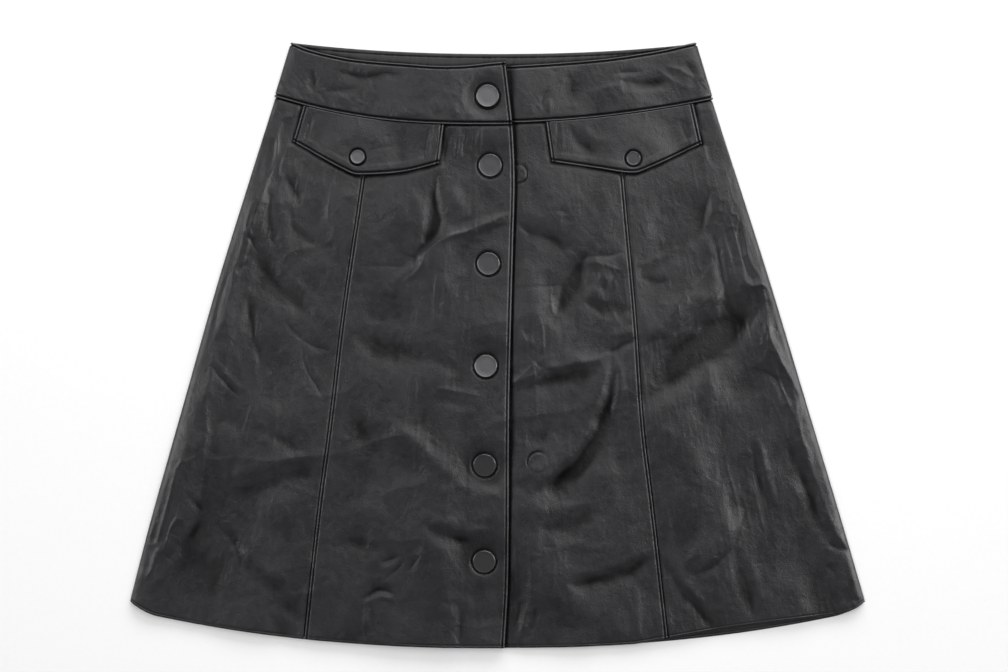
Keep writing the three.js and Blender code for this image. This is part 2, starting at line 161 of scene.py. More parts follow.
# Pocket flaps: (x, y) of the foot, (y, x) of the two sides
FLAPS = {
    "right": {
        "foot": [(-163.4, 162.4), (-117.4, 137.2), (-106, 135.8), (-74, 138.2), (-46.4, 144.8)],
        "sides": ([(163, -163.2), (193, -154.4)], [(146, -46.4), (177, -42.4)]),
    },
    "left": {
        "foot": [(43.2, 146.4), (82, 140.6), (103, 137.4), (114.4, 138.4), (163.4, 160.8)],
        "sides": ([(147, 43.2), (180, 38.4)], [(162, 163.2), (194, 156)]),
    },
}
FRONT_SNAPS = [f"snap_{n}" for n in range(2, 7)]
FLAP_SNAPS = {"right": "flap_snap_right", "left": "flap_snap_left"}
FRONT_SNAP_RADIUS = 9.0
FLAP_SNAP_RADIUS = 5.5
SNAP_1_NEARER = 2.0  # to the overlap's edge than the rest of the row

# ---------------------------------------------------------------- creases
# Each is (points along it, height, spread to the left of its run, spread to the right,
# sharpness). A negative height is a trough. Sharpness 2 is a soft swell, and less than
# HARD_BELOW a fine line with long flanks.

HARD_BELOW = 1.75
SOFT_DEPTH = 1.1  # share of its height that a soft crease gets
RIDGE_SHARE = 0.85  # and of that, the share that a ridge gets
CREASE_FADE = 2.5  # power of its fading along its run: a higher one fades later
CREASE_ENDS = 0.45  # share of its width that it has at its ends
LINE_CREST = 0.15  # share of its spread over which a fine line's crest is rounded
CREASES_AT_WAIST = 0.35  # share of their height that a front's creases have at its waist
CREASES_GROW = (2.0, 60.0)  # from, to: below the waist seam, where they reach all of it
CREASES_BEGIN = (-6.0, 12.0)  # from, to: x over which the left front's begin

RIGHT_CREASES = [
    # the largest folds of the solid
    ([(-46, 134), (-52, 98), (-64, 66)], -0.9, 9, 8, 2),
    ([(-44, 92), (-20, 96), (6, 105)], 0.5, 4, 9, 2),
    ([(-118, -60), (-82, -86), (-38, -116)], -0.7, 13, 13, 2),
    ([(-84, -64), (-34, -106)], 1.4, 11, 11, 2),
    ([(-198, 78), (-176, 48), (-152, 24)], -0.9, 11, 11, 2),
    ([(-134, -100), (-214, -124)], -1.0, 14, 13, 2),
    ([(-228, -24), (-252, -100), (-274, -196)], 1.3, 9, 9, 2),
    # side panel: the broken ridge along the side
    ([(-184, 138), (-192, 112), (-200, 88), (-206, 70)], 1.1, 3.5, 5, 1.5),
    ([(-205, 78), (-210, 50), (-216, 26), (-225, -2)], 0.9, 3, 4, 1.5),
    ([(-212, 60), (-220, 36), (-226, 8)], -0.6, 3, 3, 1.6),
    ([(-224, 2), (-230, -32), (-232, -64), (-238, -116)], 1.0, 4, 5, 1.5),
    ([(-238, -112), (-248, -148), (-260, -174), (-274, -198)], 1.1, 4, 5, 1.5),
    ([(-250, -116), (-234, -132)], -0.5, 3, 3, 1.6),
    ([(-236, -138), (-252, -160), (-268, -178)], -0.7, 4, 4, 1.6),
    ([(-204, 92), (-196, 84), (-192, 74)], -0.7, 2.2, 2.2, 1.4),
    ([(-200, 68), (-207, 56)], -0.7, 2.2, 3, 1.4),
    # side panel: folds inside it
    ([(-186, 128), (-182, 104), (-178, 80)], -0.9, 5, 5, 1.8),
    ([(-170, 136), (-163, 126), (-158, 112)], -1.0, 5, 6, 1.8),
    ([(-176, 120), (-170, 86), (-168, 60)], 0.6, 5, 6, 2),
    ([(-198, 74), (-176, 48), (-152, 26), (-136, 4)], -0.3, 6, 5, 1.8),
    ([(-188, 82), (-168, 56), (-146, 34), (-130, 12)], 0.5, 5, 6, 1.9),
    ([(-200, 44), (-194, 12), (-188, -16)], -0.8, 5, 5, 1.8),
    ([(-230, -16), (-218, -30), (-206, -42)], -0.6, 2, 2, 1.4),
    ([(-226, -12), (-214, -26), (-202, -37)], 0.4, 2.5, 3, 1.6),
    ([(-170, 20), (-160, 8), (-148, 0), (-132, -5)], -0.55, 2, 2.4, 1.4),
    ([(-156, 4), (-153, -16), (-144, -34), (-139, -46)], -0.7, 3, 2, 1.4),
    ([(-151, 2), (-148, -15), (-139, -32), (-134, -42)], 0.35, 3.5, 3, 1.7),
    ([(-222, -62), (-214, -74), (-204, -86)], 0.8, 7, 8, 2),
    ([(-136, -98), (-176, -108), (-214, -122)], -0.25, 7, 8, 2),
    ([(-140, -86), (-184, -96), (-214, -106)], 0.5, 6, 6, 2),
    ([(-206, -168), (-188, -188), (-168, -202)], -0.7, 7, 8, 2),
    ([(-210, -158), (-192, -176), (-170, -190)], 0.6, 6, 5, 2),
    ([(-158, -138), (-158, -174)], 0.7, 7, 7, 2),
    ([(-184, -210), (-158, -228)], 0.6, 6, 6, 2),
    ([(-226, -142), (-210, -158), (-204, -180)], -0.6, 5, 4, 1.8),
    ([(-166, 96), (-150, 84), (-128, 80)], -0.45, 4, 5, 2),
    ([(-166, 60), (-146, 66), (-126, 62)], 0.35, 6, 6, 2),
    ([(-192, -48), (-170, -56), (-146, -70)], 0.5, 8, 7, 2),
    ([(-194, -66), (-172, -76), (-150, -86)], -0.45, 6, 6, 2),
    # centre panel, upper half
    ([(-46, 142), (-50, 118), (-49, 98), (-57, 84), (-63, 72)], -2.1, 4, 9, 1.7),
    ([(-60, 82), (-66, 72), (-68, 62)], -0.9, 3, 5, 1.6),
    ([(-18, 95), (-38, 89), (-50, 83), (-58, 76), (-61, 66), (-68, 57), (-78, 50)], 1.2, 4.5, 2, 1.4),
    ([(-46, 86), (-26, 92), (-6, 99), (12, 106)], 1.8, 2, 6, 1.4),
    ([(-16, 88), (-2, 93), (11, 97)], -0.7, 3, 5, 1.6),
    ([(-70, 66), (-78, 56), (-88, 50)], 0.5, 4, 5, 1.8),
    ([(-114, 64), (-90, 65), (-66, 63)], -0.3, 2, 2, 1.4),
    ([(-39, 174), (-42, 144)], -1.7, 3, 3, 1.6),
    ([(-47, 175), (-46, 148)], 1.9, 1.8, 1.8, 1.6),
    ([(-31, 176), (-33, 150)], 1.7, 1.8, 1.8, 1.6),
    ([(-25, 175), (-27, 152)], -1.5, 1.6, 1.6, 1.6),
    ([(-13, 176), (-14, 154)], 2.1, 1.8, 1.8, 1.5),
    ([(-18, 176), (-20, 156)], -1.7, 1.6, 1.6, 1.6),
    ([(-38, 128), (-30, 116), (-26, 100)], 0.6, 6, 6, 2),
    ([(-86, 128), (-80, 104), (-84, 84)], 0.6, 8, 8, 2),
    ([(-68, 126), (-64, 108), (-68, 90)], 0.5, 5, 6, 2),
    ([(-98, 112), (-96, 92)], -0.4, 5, 5, 2),
    # centre panel, middle
    ([(-46, 56), (-38, 40), (-40, 22)], 0.45, 6, 6, 2),
    ([(-26, 44), (-27, 20), (-26, -6)], 0.4, 2.6, 2.6, 1.8),
    ([(-92, 34), (-86, 14), (-92, -6)], 0.45, 8, 8, 2),
    ([(-116, 8), (-78, -7), (-28, -20)], -0.9, 9, 10, 2),
    ([(-112, 22), (-76, 8), (-36, -4)], 0.5, 7, 8, 2),
    ([(-54, -34), (-34, -38), (-12, -42)], 0.45, 2, 2, 1.5),
    ([(-60, -42), (-38, -47), (-14, -50)], -0.35, 4, 4, 2),
    ([(-130, -51), (-106, -74), (-78, -92), (-46, -107), (-36, -117)], -0.2, 9, 9, 2),
    ([(-104, -52), (-78, -68), (-54, -88), (-32, -110)], 0.7, 6, 5, 1.7),
    ([(-6, -101), (0, -106), (3, -116)], -0.5, 2, 2, 1.5),
    ([(-30, -100), (-14, -112), (4, -122)], 0.5, 4, 5, 1.8),
    # centre panel, lower
    ([(-60, -142), (-40, -154), (-8, -160)], -1.0, 5, 6, 1.7),
    ([(-60, -132), (-38, -144), (-6, -150)], 0.6, 5, 5, 2),
    ([(-94, -174), (-86, -172), (-77, -168)], -0.55, 2, 2.4, 1.4),
    ([(-90, -188), (-82, -181), (-73, -172)], -0.55, 2, 2.4, 1.4),
    ([(-71, -181), (-66, -174), (-60, -167)], -0.55, 2, 2.4, 1.4),
    ([(-94, -179), (-84, -176), (-75, -170)], 0.4, 2, 2, 1.5),
    ([(-110, -202), (-96, -195), (-79, -197)], -0.9, 3, 2.4, 1.5),
    ([(-110, -207), (-96, -200), (-78, -202)], 0.7, 2.4, 3, 1.5),
    ([(-36, -202), (-30, -218), (-30, -238)], -0.7, 3, 3, 1.6),
    ([(-44, -204), (-39, -220), (-38, -238)], 0.5, 4, 4, 2),
    ([(-106, -206), (-106, -230)], 0.5, 3, 3, 1.8),
    ([(-136, -160), (-116, -156), (-96, -164)], -0.5, 6, 7, 2),
    ([(-128, -136), (-104, -132), (-80, -142)], 0.5, 7, 8, 2),
]

LEFT_CREASES = [
    # the largest folds of the solid
    ([(18, -36), (44, -26), (84, -20)], -1.0, 9, 10, 2),
    ([(86, -12), (80, -40), (69, -72), (50, -95), (22, -117)], 2.4, 8, 14, 2),
    ([(56, -193), (88, -186), (120, -173)], -1.5, 11, 12, 2),
    ([(128, -40), (166, -12), (204, 22)], -1.2, 13, 12, 2),
    ([(116, 6), (150, 28), (182, 47)], 1.4, 11, 11, 2),
    ([(72, 72), (64, 52), (50, 26)], -0.6, 10, 11, 2),
    ([(230, -74), (248, -120), (266, -162)], -1.5, 9, 10, 2),
    ([(154, -182), (178, -160), (196, -130)], 1.6, 11, 10, 2),
    # centre panel, upper
    ([(12, 99), (22, 92), (42, 85), (64, 72)], -0.55, 5, 5, 1.6),
    ([(13, 98), (18, 90), (19, 84)], 0.4, 1.5, 1.5, 1.4),
    ([(14, 98), (22, 90), (28, 87)], 0.35, 1.5, 2, 1.4),
    ([(16, 96), (42, 84), (64, 71)], -0.45, 8, 8, 2),
    ([(46, 108), (52, 106), (58, 102)], -0.5, 2, 2, 1.5),
    ([(50, 100), (62, 98)], -0.35, 3, 3, 1.8),
    ([(100, 76), (84, 71), (72, 69), (66, 64)], -0.9, 2.5, 6, 1.6),
    ([(73, 72), (66, 60), (59, 47), (52, 35), (44, 14)], -2.0, 8, 5, 1.7),
    ([(71, 64), (82, 64), (100, 60)], 0.5, 1.6, 2.4, 1.4),
    ([(72, 63), (80, 54), (87, 41)], -0.5, 2, 2, 1.4),
    ([(80, 54), (92, 50)], 0.8, 8, 8, 2),
    ([(74, 46), (82, 37), (90, 32)], 0.9, 5, 5, 2),
    ([(68, 35), (78, 29), (86, 20)], -0.8, 6, 4, 1.7),
    ([(86, 18), (92, 27), (99, 29), (109, 24)], -0.7, 5, 7, 1.7),
    ([(94, 22), (103, 22)], -0.4, 6, 6, 2),
    ([(86, -8), (98, -3), (113, 5)], -1.1, 4.5, 4, 1.6),
    ([(84, 4), (98, 8), (110, 12)], 0.5, 4, 4, 1.8),
    ([(24, 70), (26, 40), (24, 14)], 0.5, 7, 7, 2),
    ([(40, 60), (42, 30), (36, 4)], -0.4, 6, 6, 2),
    ([(12, 46), (40, 45), (58, 46)], -0.25, 2, 2, 1.5),
    ([(18, 17), (23, 5), (22, -6)], 0.6, 1.8, 2.6, 1.5),
    ([(40, 18), (38, -2), (30, -14)], -0.5, 2.6, 2.6, 1.6),
    ([(62, 130), (58, 112), (62, 94)], 0.5, 8, 8, 2),
    ([(84, 126), (90, 106), (84, 90)], 0.4, 7, 7, 2),
    ([(32, 132), (30, 116), (36, 102)], -0.4, 6, 6, 2),
    # centre panel, middle
    ([(30, -19), (42, -16), (66, -14), (88, -9)], 2.0, 5, 7, 1.5),
    ([(8, -33), (20, -27), (34, -19)], 1.1, 3, 5, 1.5),
    ([(14, -30), (24, -20), (32, -10)], 0.8, 1.8, 2.6, 1.4),
    ([(29, -30), (34, -24), (40, -18)], 0.8, 1.6, 2.6, 1.4),
    ([(28, -10), (34, -15), (40, -18)], -0.6, 2, 2.4, 1.4),
    ([(86, -13), (81, -36), (77, -56), (69, -72), (56, -88), (43, -102)], 0.5, 5, 3, 1.6),
    ([(89, -20), (87, -42), (83, -60), (74, -80), (60, -97), (36, -114)], -1.8, 7, 7, 1.7),
    ([(78, -78), (62, -100), (40, -114), (14, -110)], -0.9, 9, 9, 2),
    ([(94, -10), (96, -34), (93, -54)], 0.8, 4, 4, 1.8),
    ([(96, -20), (96, -46), (92, -62)], 0.4, 4, 4, 1.8),
    ([(20, -56), (34, -50), (52, -52)], 0.4, 7, 8, 2),
    ([(12, -70), (30, -76), (48, -70)], -0.4, 6, 6, 2),
    ([(46, -86), (48, -94), (42, -104)], -0.4, 3, 3, 1.7),
    # centre panel, lower
    ([(10, -141), (38, -146), (66, -141), (94, -128)], -0.7, 9, 9, 2),
    ([(14, -128), (44, -131), (72, -125)], 0.4, 6, 7, 2),
    ([(36, -161), (42, -162), (48, -161)], -0.4, 1.6, 1.6, 1.5),
    ([(38, -164), (60, -160), (84, -164)], 0.4, 5, 5, 2),
    ([(56, -193), (82, -189), (102, -184), (118, -174), (132, -170)], -0.5, 5, 5, 1.7),
    ([(60, -184), (84, -180), (104, -175), (118, -166)], 0.6, 4.5, 4, 1.8),
    ([(25, -202), (20, -220), (16, -237)], 0.8, 2.2, 2.6, 1.6),
    ([(31, -204), (27, -220), (23, -237)], -0.6, 3, 3, 1.7),
    ([(18, -203), (14, -218), (11, -232)], -0.5, 2.4, 2.4, 1.7),
    ([(16, -204), (44, -220), (78, -228)], -1.1, 12, 13, 2),
    ([(110, -194), (111, -236)], 0.6, 4, 4, 1.8),
    ([(86, -202), (92, -220), (88, -236)], 0.4, 6, 6, 2),
    # side panel, upper
    ([(172, 128), (164, 104), (156, 78)], -0.9, 5, 5, 1.8),
    ([(162, 94), (168, 70), (174, 40), (181, 10)], 0.6, 4, 5, 1.8),
    ([(178, 90), (183, 64), (189, 38)], 0.5, 3.6, 3.6, 1.8),
    ([(170, 92), (176, 64), (182, 36)], -0.4, 3, 3, 1.8),
    ([(112, 57), (124, 50), (138, 50)], -0.9, 4, 5, 1.7),
    ([(112, 65), (128, 68), (148, 78)], 0.7, 3, 4, 1.7),
    ([(122, 88), (128, 100), (142, 108)], -0.45, 6, 6, 2),
    ([(138, 22), (146, 30), (156, 40)], 1.1, 1.8, 3, 1.4),
    ([(134, -2), (150, 14), (172, 42)], 1.2, 2, 4, 1.4),
    ([(150, 30), (160, 46), (172, 66)], 0.9, 2, 4, 1.4),
    ([(156, 10), (168, 26), (180, 48)], 0.7, 2, 4, 1.4),
    ([(164, 124), (152, 98), (134, 70), (114, 56)], -1.6, 12, 13, 2),
    ([(138, 7), (156, 22), (170, 36)], -0.5, 2, 2.4, 1.5),
    ([(142, 10), (150, 18), (156, 24)], 0.4, 1.4, 1.6, 1.4),
    ([(112, -2), (124, 4), (136, 6)], -0.5, 3, 3, 1.6),
    # side panel, the long diagonal
    ([(108, -60), (126, -34), (146, -11), (172, 7), (198, 24), (228, 46)], -2.7, 20, 15, 2),
    ([(120, -46), (132, -26), (148, -9), (172, 8), (190, 19)], -0.5, 10, 8, 2),
    ([(118, 0), (134, 14), (152, 28), (170, 42)], 0.5, 6, 9, 2),
    ([(120, -28), (125, -34), (133, -34)], 0.35, 1.8, 2.2, 1.5),
    ([(124, -58), (148, -40), (172, -24), (192, -13)], 0.5, 6, 10, 2),
    ([(170, -14), (171, -36), (166, -58)], 0.8, 6, 6, 1.8),
    # side panel, middle and lower
    ([(150, -50), (160, -76), (158, -104)], 0.5, 9, 9, 2),
    ([(136, -72), (140, -96), (150, -116)], -0.45, 8, 8, 2),
    ([(176, -30), (186, -56), (186, -84)], 0.45, 8, 8, 2),
    ([(202, -74), (208, -100), (218, -134)], -0.7, 4, 5, 1.8),
    ([(208, -74), (214, -98), (224, -128)], 0.8, 4, 4, 1.8),
    ([(196, -102), (194, -126), (202, -150)], -0.5, 7, 6, 2),
    ([(178, -110), (180, -136), (190, -158)], 0.7, 5, 6, 1.9),
    ([(152, -184), (176, -174), (190, -158), (197, -130)], -1.0, 4, 3.4, 1.5),
    ([(150, -178), (158, -166), (167, -146)], 0.9, 4, 4, 1.6),
    ([(190, -160), (198, -194), (207, -222)], -0.9, 6, 6, 2),
    ([(203, -168), (207, -192), (214, -212)], 0.6, 4, 4, 1.8),
    ([(128, -172), (146, -196), (170, -226)], -0.9, 5, 6, 1.8),
    ([(144, -186), (154, -196), (164, -208)], 0.8, 4, 4, 1.7),
    ([(126, -206), (134, -220), (142, -232)], 0.4, 6, 6, 2),
    # side panel, along the side
    ([(194, 106), (198, 72), (208, 54), (215, 24)], 1.1, 3, 4, 1.4),
    ([(190, 100), (194, 72), (203, 50)], -0.7, 3, 3, 1.5),
    ([(213, 34), (218, 4), (230, -18), (238, -44)], 1.0, 3, 4, 1.5),
    ([(204, -18), (218, -23), (227, -34), (232, -46)], -1.1, 4, 5, 1.5),
    ([(214, 18), (217, 4), (225, -8), (229, -22)], 0.9, 2, 3, 1.4),
    ([(237, -36), (242, -70), (248, -94), (258, -122)], 1.1, 3.4, 4, 1.5),
    ([(256, -112), (264, -138), (276, -158), (281, -168)], 1.0, 3.4, 4, 1.5),
    ([(238, -92), (246, -118), (256, -138), (270, -164)], -0.6, 6, 5, 1.8),
    ([(262, -158), (276, -163), (284, -170)], -0.8, 3, 3, 1.5),
    ([(280, -172), (286, -190), (290, -208)], 0.8, 3, 4, 1.6),
    ([(262, -174), (267, -180), (272, -186)], -0.5, 2, 2, 1.5),
]

WAISTBAND_CREASES = [
    ([(-128, 219), (-107, 214.5), (-89, 216), (-72, 214)], -0.9, 3, 5, 1.8),
    ([(-140, 206), (-126, 203), (-114, 206)], -0.6, 4, 4, 2),
    ([(-104, 186), (-78, 184), (-50, 184)], 1.1, 13, 5, 1.8),
    ([(-112, 226), (-115, 221), (-118, 217)], 0.5, 1.4, 2.2, 1.5),
    ([(-105, 226), (-109, 221), (-112, 218)], 0.5, 1.4, 2.2, 1.5),
    ([(-96, 225), (-99, 221), (-103, 218)], 0.4, 1.4, 2, 1.5),
    ([(-72, 222), (-66, 221), (-60, 219)], 0.5, 2, 2, 1.5),
    ([(-17, 220), (-22, 212), (-29, 201)], 0.7, 1.6, 2.6, 1.5),
    ([(-33, 224), (-36, 218), (-40, 212)], 0.4, 1.6, 3, 1.6),
    ([(-32, 193), (-34, 188), (-34, 182)], 0.6, 2, 2.4, 1.5),
    ([(-52, 197), (-48, 192), (-47, 186)], 0.5, 4, 4, 1.8),
    ([(-24, 184), (-12, 187), (-2, 189)], 0.6, 1.8, 3, 1.5),
    ([(-150, 222), (-146, 212), (-148, 202)], -0.6, 3, 5, 1.8),
    ([(92, 215), (105, 217), (118, 217.5)], -0.7, 2, 2.6, 1.5),
    ([(98, 209), (118, 208), (140, 210)], -1.0, 4, 7, 1.8),
    ([(70, 200), (84, 204), (106, 206)], 0.6, 3, 7, 1.8),
    ([(106, 201), (122, 203), (140, 202)], 0.5, 2.4, 5, 1.6),
    ([(40, 202), (36.5, 197), (38, 186)], -0.7, 1.8, 1.8, 1.5),
    ([(41, 196), (42, 189), (41, 182)], 0.6, 1.8, 2.2, 1.6),
    ([(56, 216), (60, 204), (56, 190)], -0.7, 7, 8, 2),
    ([(28, 192), (29, 187), (28, 182)], 0.4, 1.8, 1.8, 1.6),
    ([(137, 224), (148, 219), (158, 213)], 0.6, 1.6, 2.6, 1.5),
    ([(152, 227), (158.5, 214.6), (156, 204)], -1.0, 3, 4, 1.6),
    ([(164, 214), (168, 206), (170, 198)], 0.8, 2, 2, 1.5),
    ([(128, 221), (136, 216), (150, 204)], 0.4, 1.4, 2, 1.5),
]

FLAP_CREASES = {
    "right": [
        ([(-148, 184), (-151, 170), (-154, 160)], -0.5, 2, 2, 1.5),
        ([(-144, 184), (-147, 170), (-150, 158)], 0.35, 2.4, 3, 1.6),
        ([(-54, 176), (-56, 162), (-58, 148)], -0.5, 2, 2, 1.5),
        ([(-106, 150), (-99, 155), (-82, 158)], -0.4, 2, 2.4, 1.5),
        ([(-105, 147), (-98, 148), (-90, 150)], 0.35, 2, 2, 1.5),
        ([(-106, 144), (-101, 140)], -0.35, 1.6, 1.6, 1.5),
        ([(-104, 166), (-96, 165)], -0.3, 1.4, 1.4, 1.5),
        ([(-90, 166), (-84, 166)], -0.3, 1.4, 1.4, 1.5),
        ([(-132, 172), (-124, 164), (-122, 154)], -0.35, 4, 4, 2),
    ],
    "left": [
        ([(52, 178), (54, 164), (52, 150)], 0.5, 2, 2.4, 1.5),
        ([(48, 178), (50, 164), (48, 152)], -0.4, 1.8, 1.8, 1.5),
        ([(58, 174), (72, 156), (94, 152)], -0.7, 4.5, 4.5, 1.8),
        ([(66, 174), (80, 164), (98, 162)], 0.4, 4, 4, 2),
        ([(146, 182), (150, 170), (154, 162)], -0.4, 2, 2, 1.6),
        ([(114, 148), (124, 152), (136, 152)], -0.3, 2.4, 2.4, 1.6),
    ],
}

# Soft air pockets under the back panel, which the skirt laid flat hides
BACK_CREASES = [
    ([(-120, 120), (-100, 60), (-108, -10)], 0.45, 12, 16, 2),
    ([(-190, -60), (-150, -120), (-110, -150)], 0.4, 14, 10, 2),
    ([(30, 140), (44, 70), (36, 0)], 0.35, 10, 14, 2),
    ([(96, 110), (120, 40), (110, -40)], 0.4, 14, 10, 2),
    ([(60, -90), (110, -120), (180, -110)], 0.45, 12, 12, 2),
    ([(-60, -130), (-20, -180), (20, -200)], 0.35, 12, 9, 2),
    ([(170, 60), (186, 0), (180, -60)], 0.35, 9, 12, 2),
]

OVERLAP_PRESS = 0.7  # depth that the overlap's edge presses into what lies under it, which sets how dark its painted shadow is
FLAP_PRESS_REACH = 2.4  # how far from a flap's edge it presses down its panel and paints the flap's shadow on it
# How far from the overlap's edge it presses down the left front and paints its shadow: (y, reach)
PRESSED_REACH = [
    (-240, 2.4), (-204, 2.2), (-140, 1.9), (-76, 4.3), (-28, 3.3), (36, 1.7), (100, 2.2),
    (156, 3.1), (196, 3.3),
]

# Round prints in the left front: (x, y, radius, depth, deepest at this angle)
PRESSED_RINGS = [(16.4, 137, 7.6, 0.75, -5), (32.4, -93.4, 8.4, 0.75, 130)]

# Gentle swells of the leather: (across, along, height, seed)
SWELLS = [
    (82, 96, 1.8, 3),
    (34, 46, 1.05, 5),
    (13, 64, 0.3, 7),
    (14, 17, 0.17, 8),
    (6, 8, 0.05, 13),
]
# Sharper crumples between them: (across, along, height, seed)
CRUMPLES = [(46, 40, 0.5, 31), (21, 26, 0.22, 33), (9, 12, 0.08, 37)]
# Short wrinkles in patches: (across, along, height, seed). They run down the panels with
# their flare, stand on the waistband, and fill the turns at the sides of the panels.
PANEL_WRINKLES = [(8, 42, 0.34, 22), (4, 22, 0.14, 44)]
BAND_WRINKLES = [(9, 24, 0.42, 41), (4, 9, 0.26, 43)]
SIDE_WRINKLES = {"right": [(8, 24, 1.4, 51)], "left": [(10, 24, 1.3, 55), (6, 10, 0.4, 57)]}
SIDE_WRINKLES_AT = 14.0  # from the side seam
SIDE_WRINKLES_WIDTH = 12.0
FLARE = 0.0012  # of the panels' width, per millimetre down
BAND_SWELLS = 0.9  # share of the swells that the waistband has
BAND_LEAN = 0.4  # of its wrinkles, sideways for each millimetre up
# How far the creases stray from their runs: (across, along, distance, seed)
WANDER = [(30, 34, 2.0, 41), (9, 10, 0.7, 43)]

# Painted shade of a pressed line: darkness, depth at which it starts, and over which it deepens
LINE_SHADE = (0.73, 0.09, 0.4)
# Painted shade of a fold: (stations looked over each way, depth at its darkest, darkness there)
FOLD_SHADES = [(8, 1.1, 0.42), (20, 2.7, 0.66)]
# most painted shade that a face can get
DARKEST = 0.95
# Of the painted highlight on raised rims: stations looked over each way, height that starts
# it, and over which it grows
RIM_HIGHLIGHT = (3, 0.38, 0.14)

EDGE_TURN = 1.05  # radius of a turned and stitched edge
PRINCESS_TURN = 1.4  # and of the princess seams' edges
STITCH_IN = 2.1  # from an edge in to its row of stitches
PITCH = 2.6  # between stitches
STITCH = 1.9  # length of a stitch
THREAD = 0.42  # thickness of the thread
THREAD_SUNK = 0.12  # share of it that is sunk in the leather
LEAST_WALL = 0.2  # what the deepest line leaves of a wall
UNDERSIDE_STEP = 4.0  # least distance between stations of a wall's underside

# ---------------------------------------------------------------- the cut's lines


def curve(rows, column=1):
    """A smooth line through a table's rows, straight past both ends."""
    at = np.array([row[0] for row in rows], float)
    value = np.array([row[column] for row in rows], float)
    slope = np.empty(len(at))
    slope[1:-1] = (value[2:] - value[:-2]) / (at[2:] - at[:-2])
    slope[0] = (value[1] - value[0]) / (at[1] - at[0])
    slope[-1] = (value[-1] - value[-2]) / (at[-1] - at[-2])

    def line(where):
        where = np.asarray(where, float)
        i = np.clip(np.searchsorted(at, where, side="right") - 1, 0, len(at) - 2)
        step = at[i + 1] - at[i]
        inside = np.clip((where - at[i]) / step, 0, 1)
        ease = inside * inside * (3 - 2 * inside)
        start_bend = inside * (1 - inside) ** 2 * step * slope[i]
        end_bend = inside * inside * (inside - 1) * step * slope[i + 1]
        past_ends = np.minimum(where - at[0], 0) * slope[0]
        past_ends += np.maximum(where - at[-1], 0) * slope[-1]
        return value[i] + (value[i + 1] - value[i]) * ease + start_bend + end_bend + past_ends

    return line


def dipping(row):
    """A line that is lowest at one place and climbs to both sides of it."""
    low, at, rise, reach, power = row
    return lambda x: low + rise * (np.abs(x - at) / reach) ** power


def past(value, start, end):
    """0 before a stretch, 1 past it, and a smooth change between."""
    t = np.clip((value - start) / (end - start), 0, 1)
    return t * t * (3 - 2 * t)


def moved(line, by):
    """The same line, moved to the left or up."""
    return lambda value: line(value) + by


def level(value):
    """A straight line that gives the same value everywhere."""
    return lambda other: np.full_like(np.asarray(other, float), value)


side_edge = {"right": curve(SIDE_EDGES, 1), "left": curve(SIDE_EDGES, 2)}
princess = {"right": curve(PRINCESS_SEAMS, 1), "left": curve(PRINCESS_SEAMS, 2)}
overlap_edge = curve(OVERLAP_EDGE)
waist_seam = {side: dipping(row) for side, row in WAIST_SEAMS.items()}
band_top = {side: curve(rows) for side, rows in BAND_TOPS.items()}
back_band_top = dipping(BACK_BAND_TOP)
pressed_reach = curve(PRESSED_REACH)
# The side that lies to the wearer's right, the other side and the foot of each flap
flap_lines = {
    side: [curve(rows) for rows in (*flap["sides"], flap["foot"])] for side, flap in FLAPS.items()
}


def hem_line(x):
    """The hem's curve, which turns up at both side seams."""
    climb = HEM_RISE * (np.abs(x) / HALF_HEM) ** HEM_CURVE
    corner = np.maximum(0, (np.abs(x) - HALF_HEM + HEM_CORNER) / HEM_CORNER)
    return -HALF_LENGTH + climb + CORNER_LIFT * corner * corner


def front_hem(x):
    """The front's hem, which climbs a little past the left princess seam."""
    start, end, height = HEM_STEP
    return hem_line(x) + height * np.sin(math.pi * np.clip((x - start) / (end - start), 0, 1))


def back_hem(x):
    """The back's hem, which stays above the front's at the wearer's right."""
    start, end, height = HEM_TUCK
    return hem_line(x) + height * (1 - past(x, start, end))


def off(line, along, across):
    """Distance from a line, square to it."""
    slope = line(along + 0.5) - line(along - 0.5)
    return np.abs(across - line(along)) / np.sqrt(1 + slope * slope)


# ---------------------------------------------------------------- heights


def smooth_run(points, step=2.5):
    """Points close together on a smooth run through a few given ones."""
    given = np.array(points, float)
    given = np.vstack([2 * given[0] - given[1], given, 2 * given[-1] - given[-2]])
    run = []
    for before, start, end, after in zip(given, given[1:], given[2:], given[3:]):
        count = max(2, math.ceil(math.dist(start, end) / step))
        t = (np.arange(count) / count)[:, None]
        bend = 2 * before - 5 * start + 4 * end - after
        twist = 3 * (start - end) + after - before
        run.append(start + 0.5 * t * (end - before + t * (bend + t * twist)))
    return np.vstack([*run, given[-2]])


def add_crease(z, x, y, crease):
    """Adds one crease to the heights of the points that are near it."""
    points, height, left, right, sharpness = crease
    run = smooth_run(points)
    reach = 3 * max(left, right)
    near = (x > run[:, 0].min() - reach) & (x < run[:, 0].max() + reach)
    near &= (y > run[:, 1].min() - reach) & (y < run[:, 1].max() + reach)
    px, py = x[near], y[near]
    away = np.full(px.shape, 1e9)
    side = np.zeros(px.shape)
    passed = np.zeros(px.shape)
    gone = 0.0
    for start, end in zip(run, run[1:]):
        size = math.dist(start, end)
        ex, ey = (end - start) / size
        dx, dy = px - start[0], py - start[1]
        along = np.clip(dx * ex + dy * ey, 0, size)
        across = np.hypot(dx - along * ex, dy - along * ey)
        closer = across < away
        away = np.where(closer, across, away)
        side = np.where(closer, ex * dy - ey * dx, side)
        passed = np.where(closer, gone + along, passed)
        gone += size
    fade = 1 - np.abs(2 * passed / gone - 1) ** CREASE_FADE
    width = CREASE_ENDS + (1 - CREASE_ENDS) * fade
    share = away / (np.where(side > 0, left, right) * width)
    height *= 1 if height < 0 else RIDGE_SHARE
    if sharpness < HARD_BELOW:
        power = max(1, 1 + 1.5 * (sharpness - 1.4))
        flank = (np.hypot(share, LINE_CREST) - LINE_CREST) ** power
        z[near] += height * fade * np.exp(-flank)
    else:
        z[near] += SOFT_DEPTH * height * fade * np.exp(-(share**sharpness))


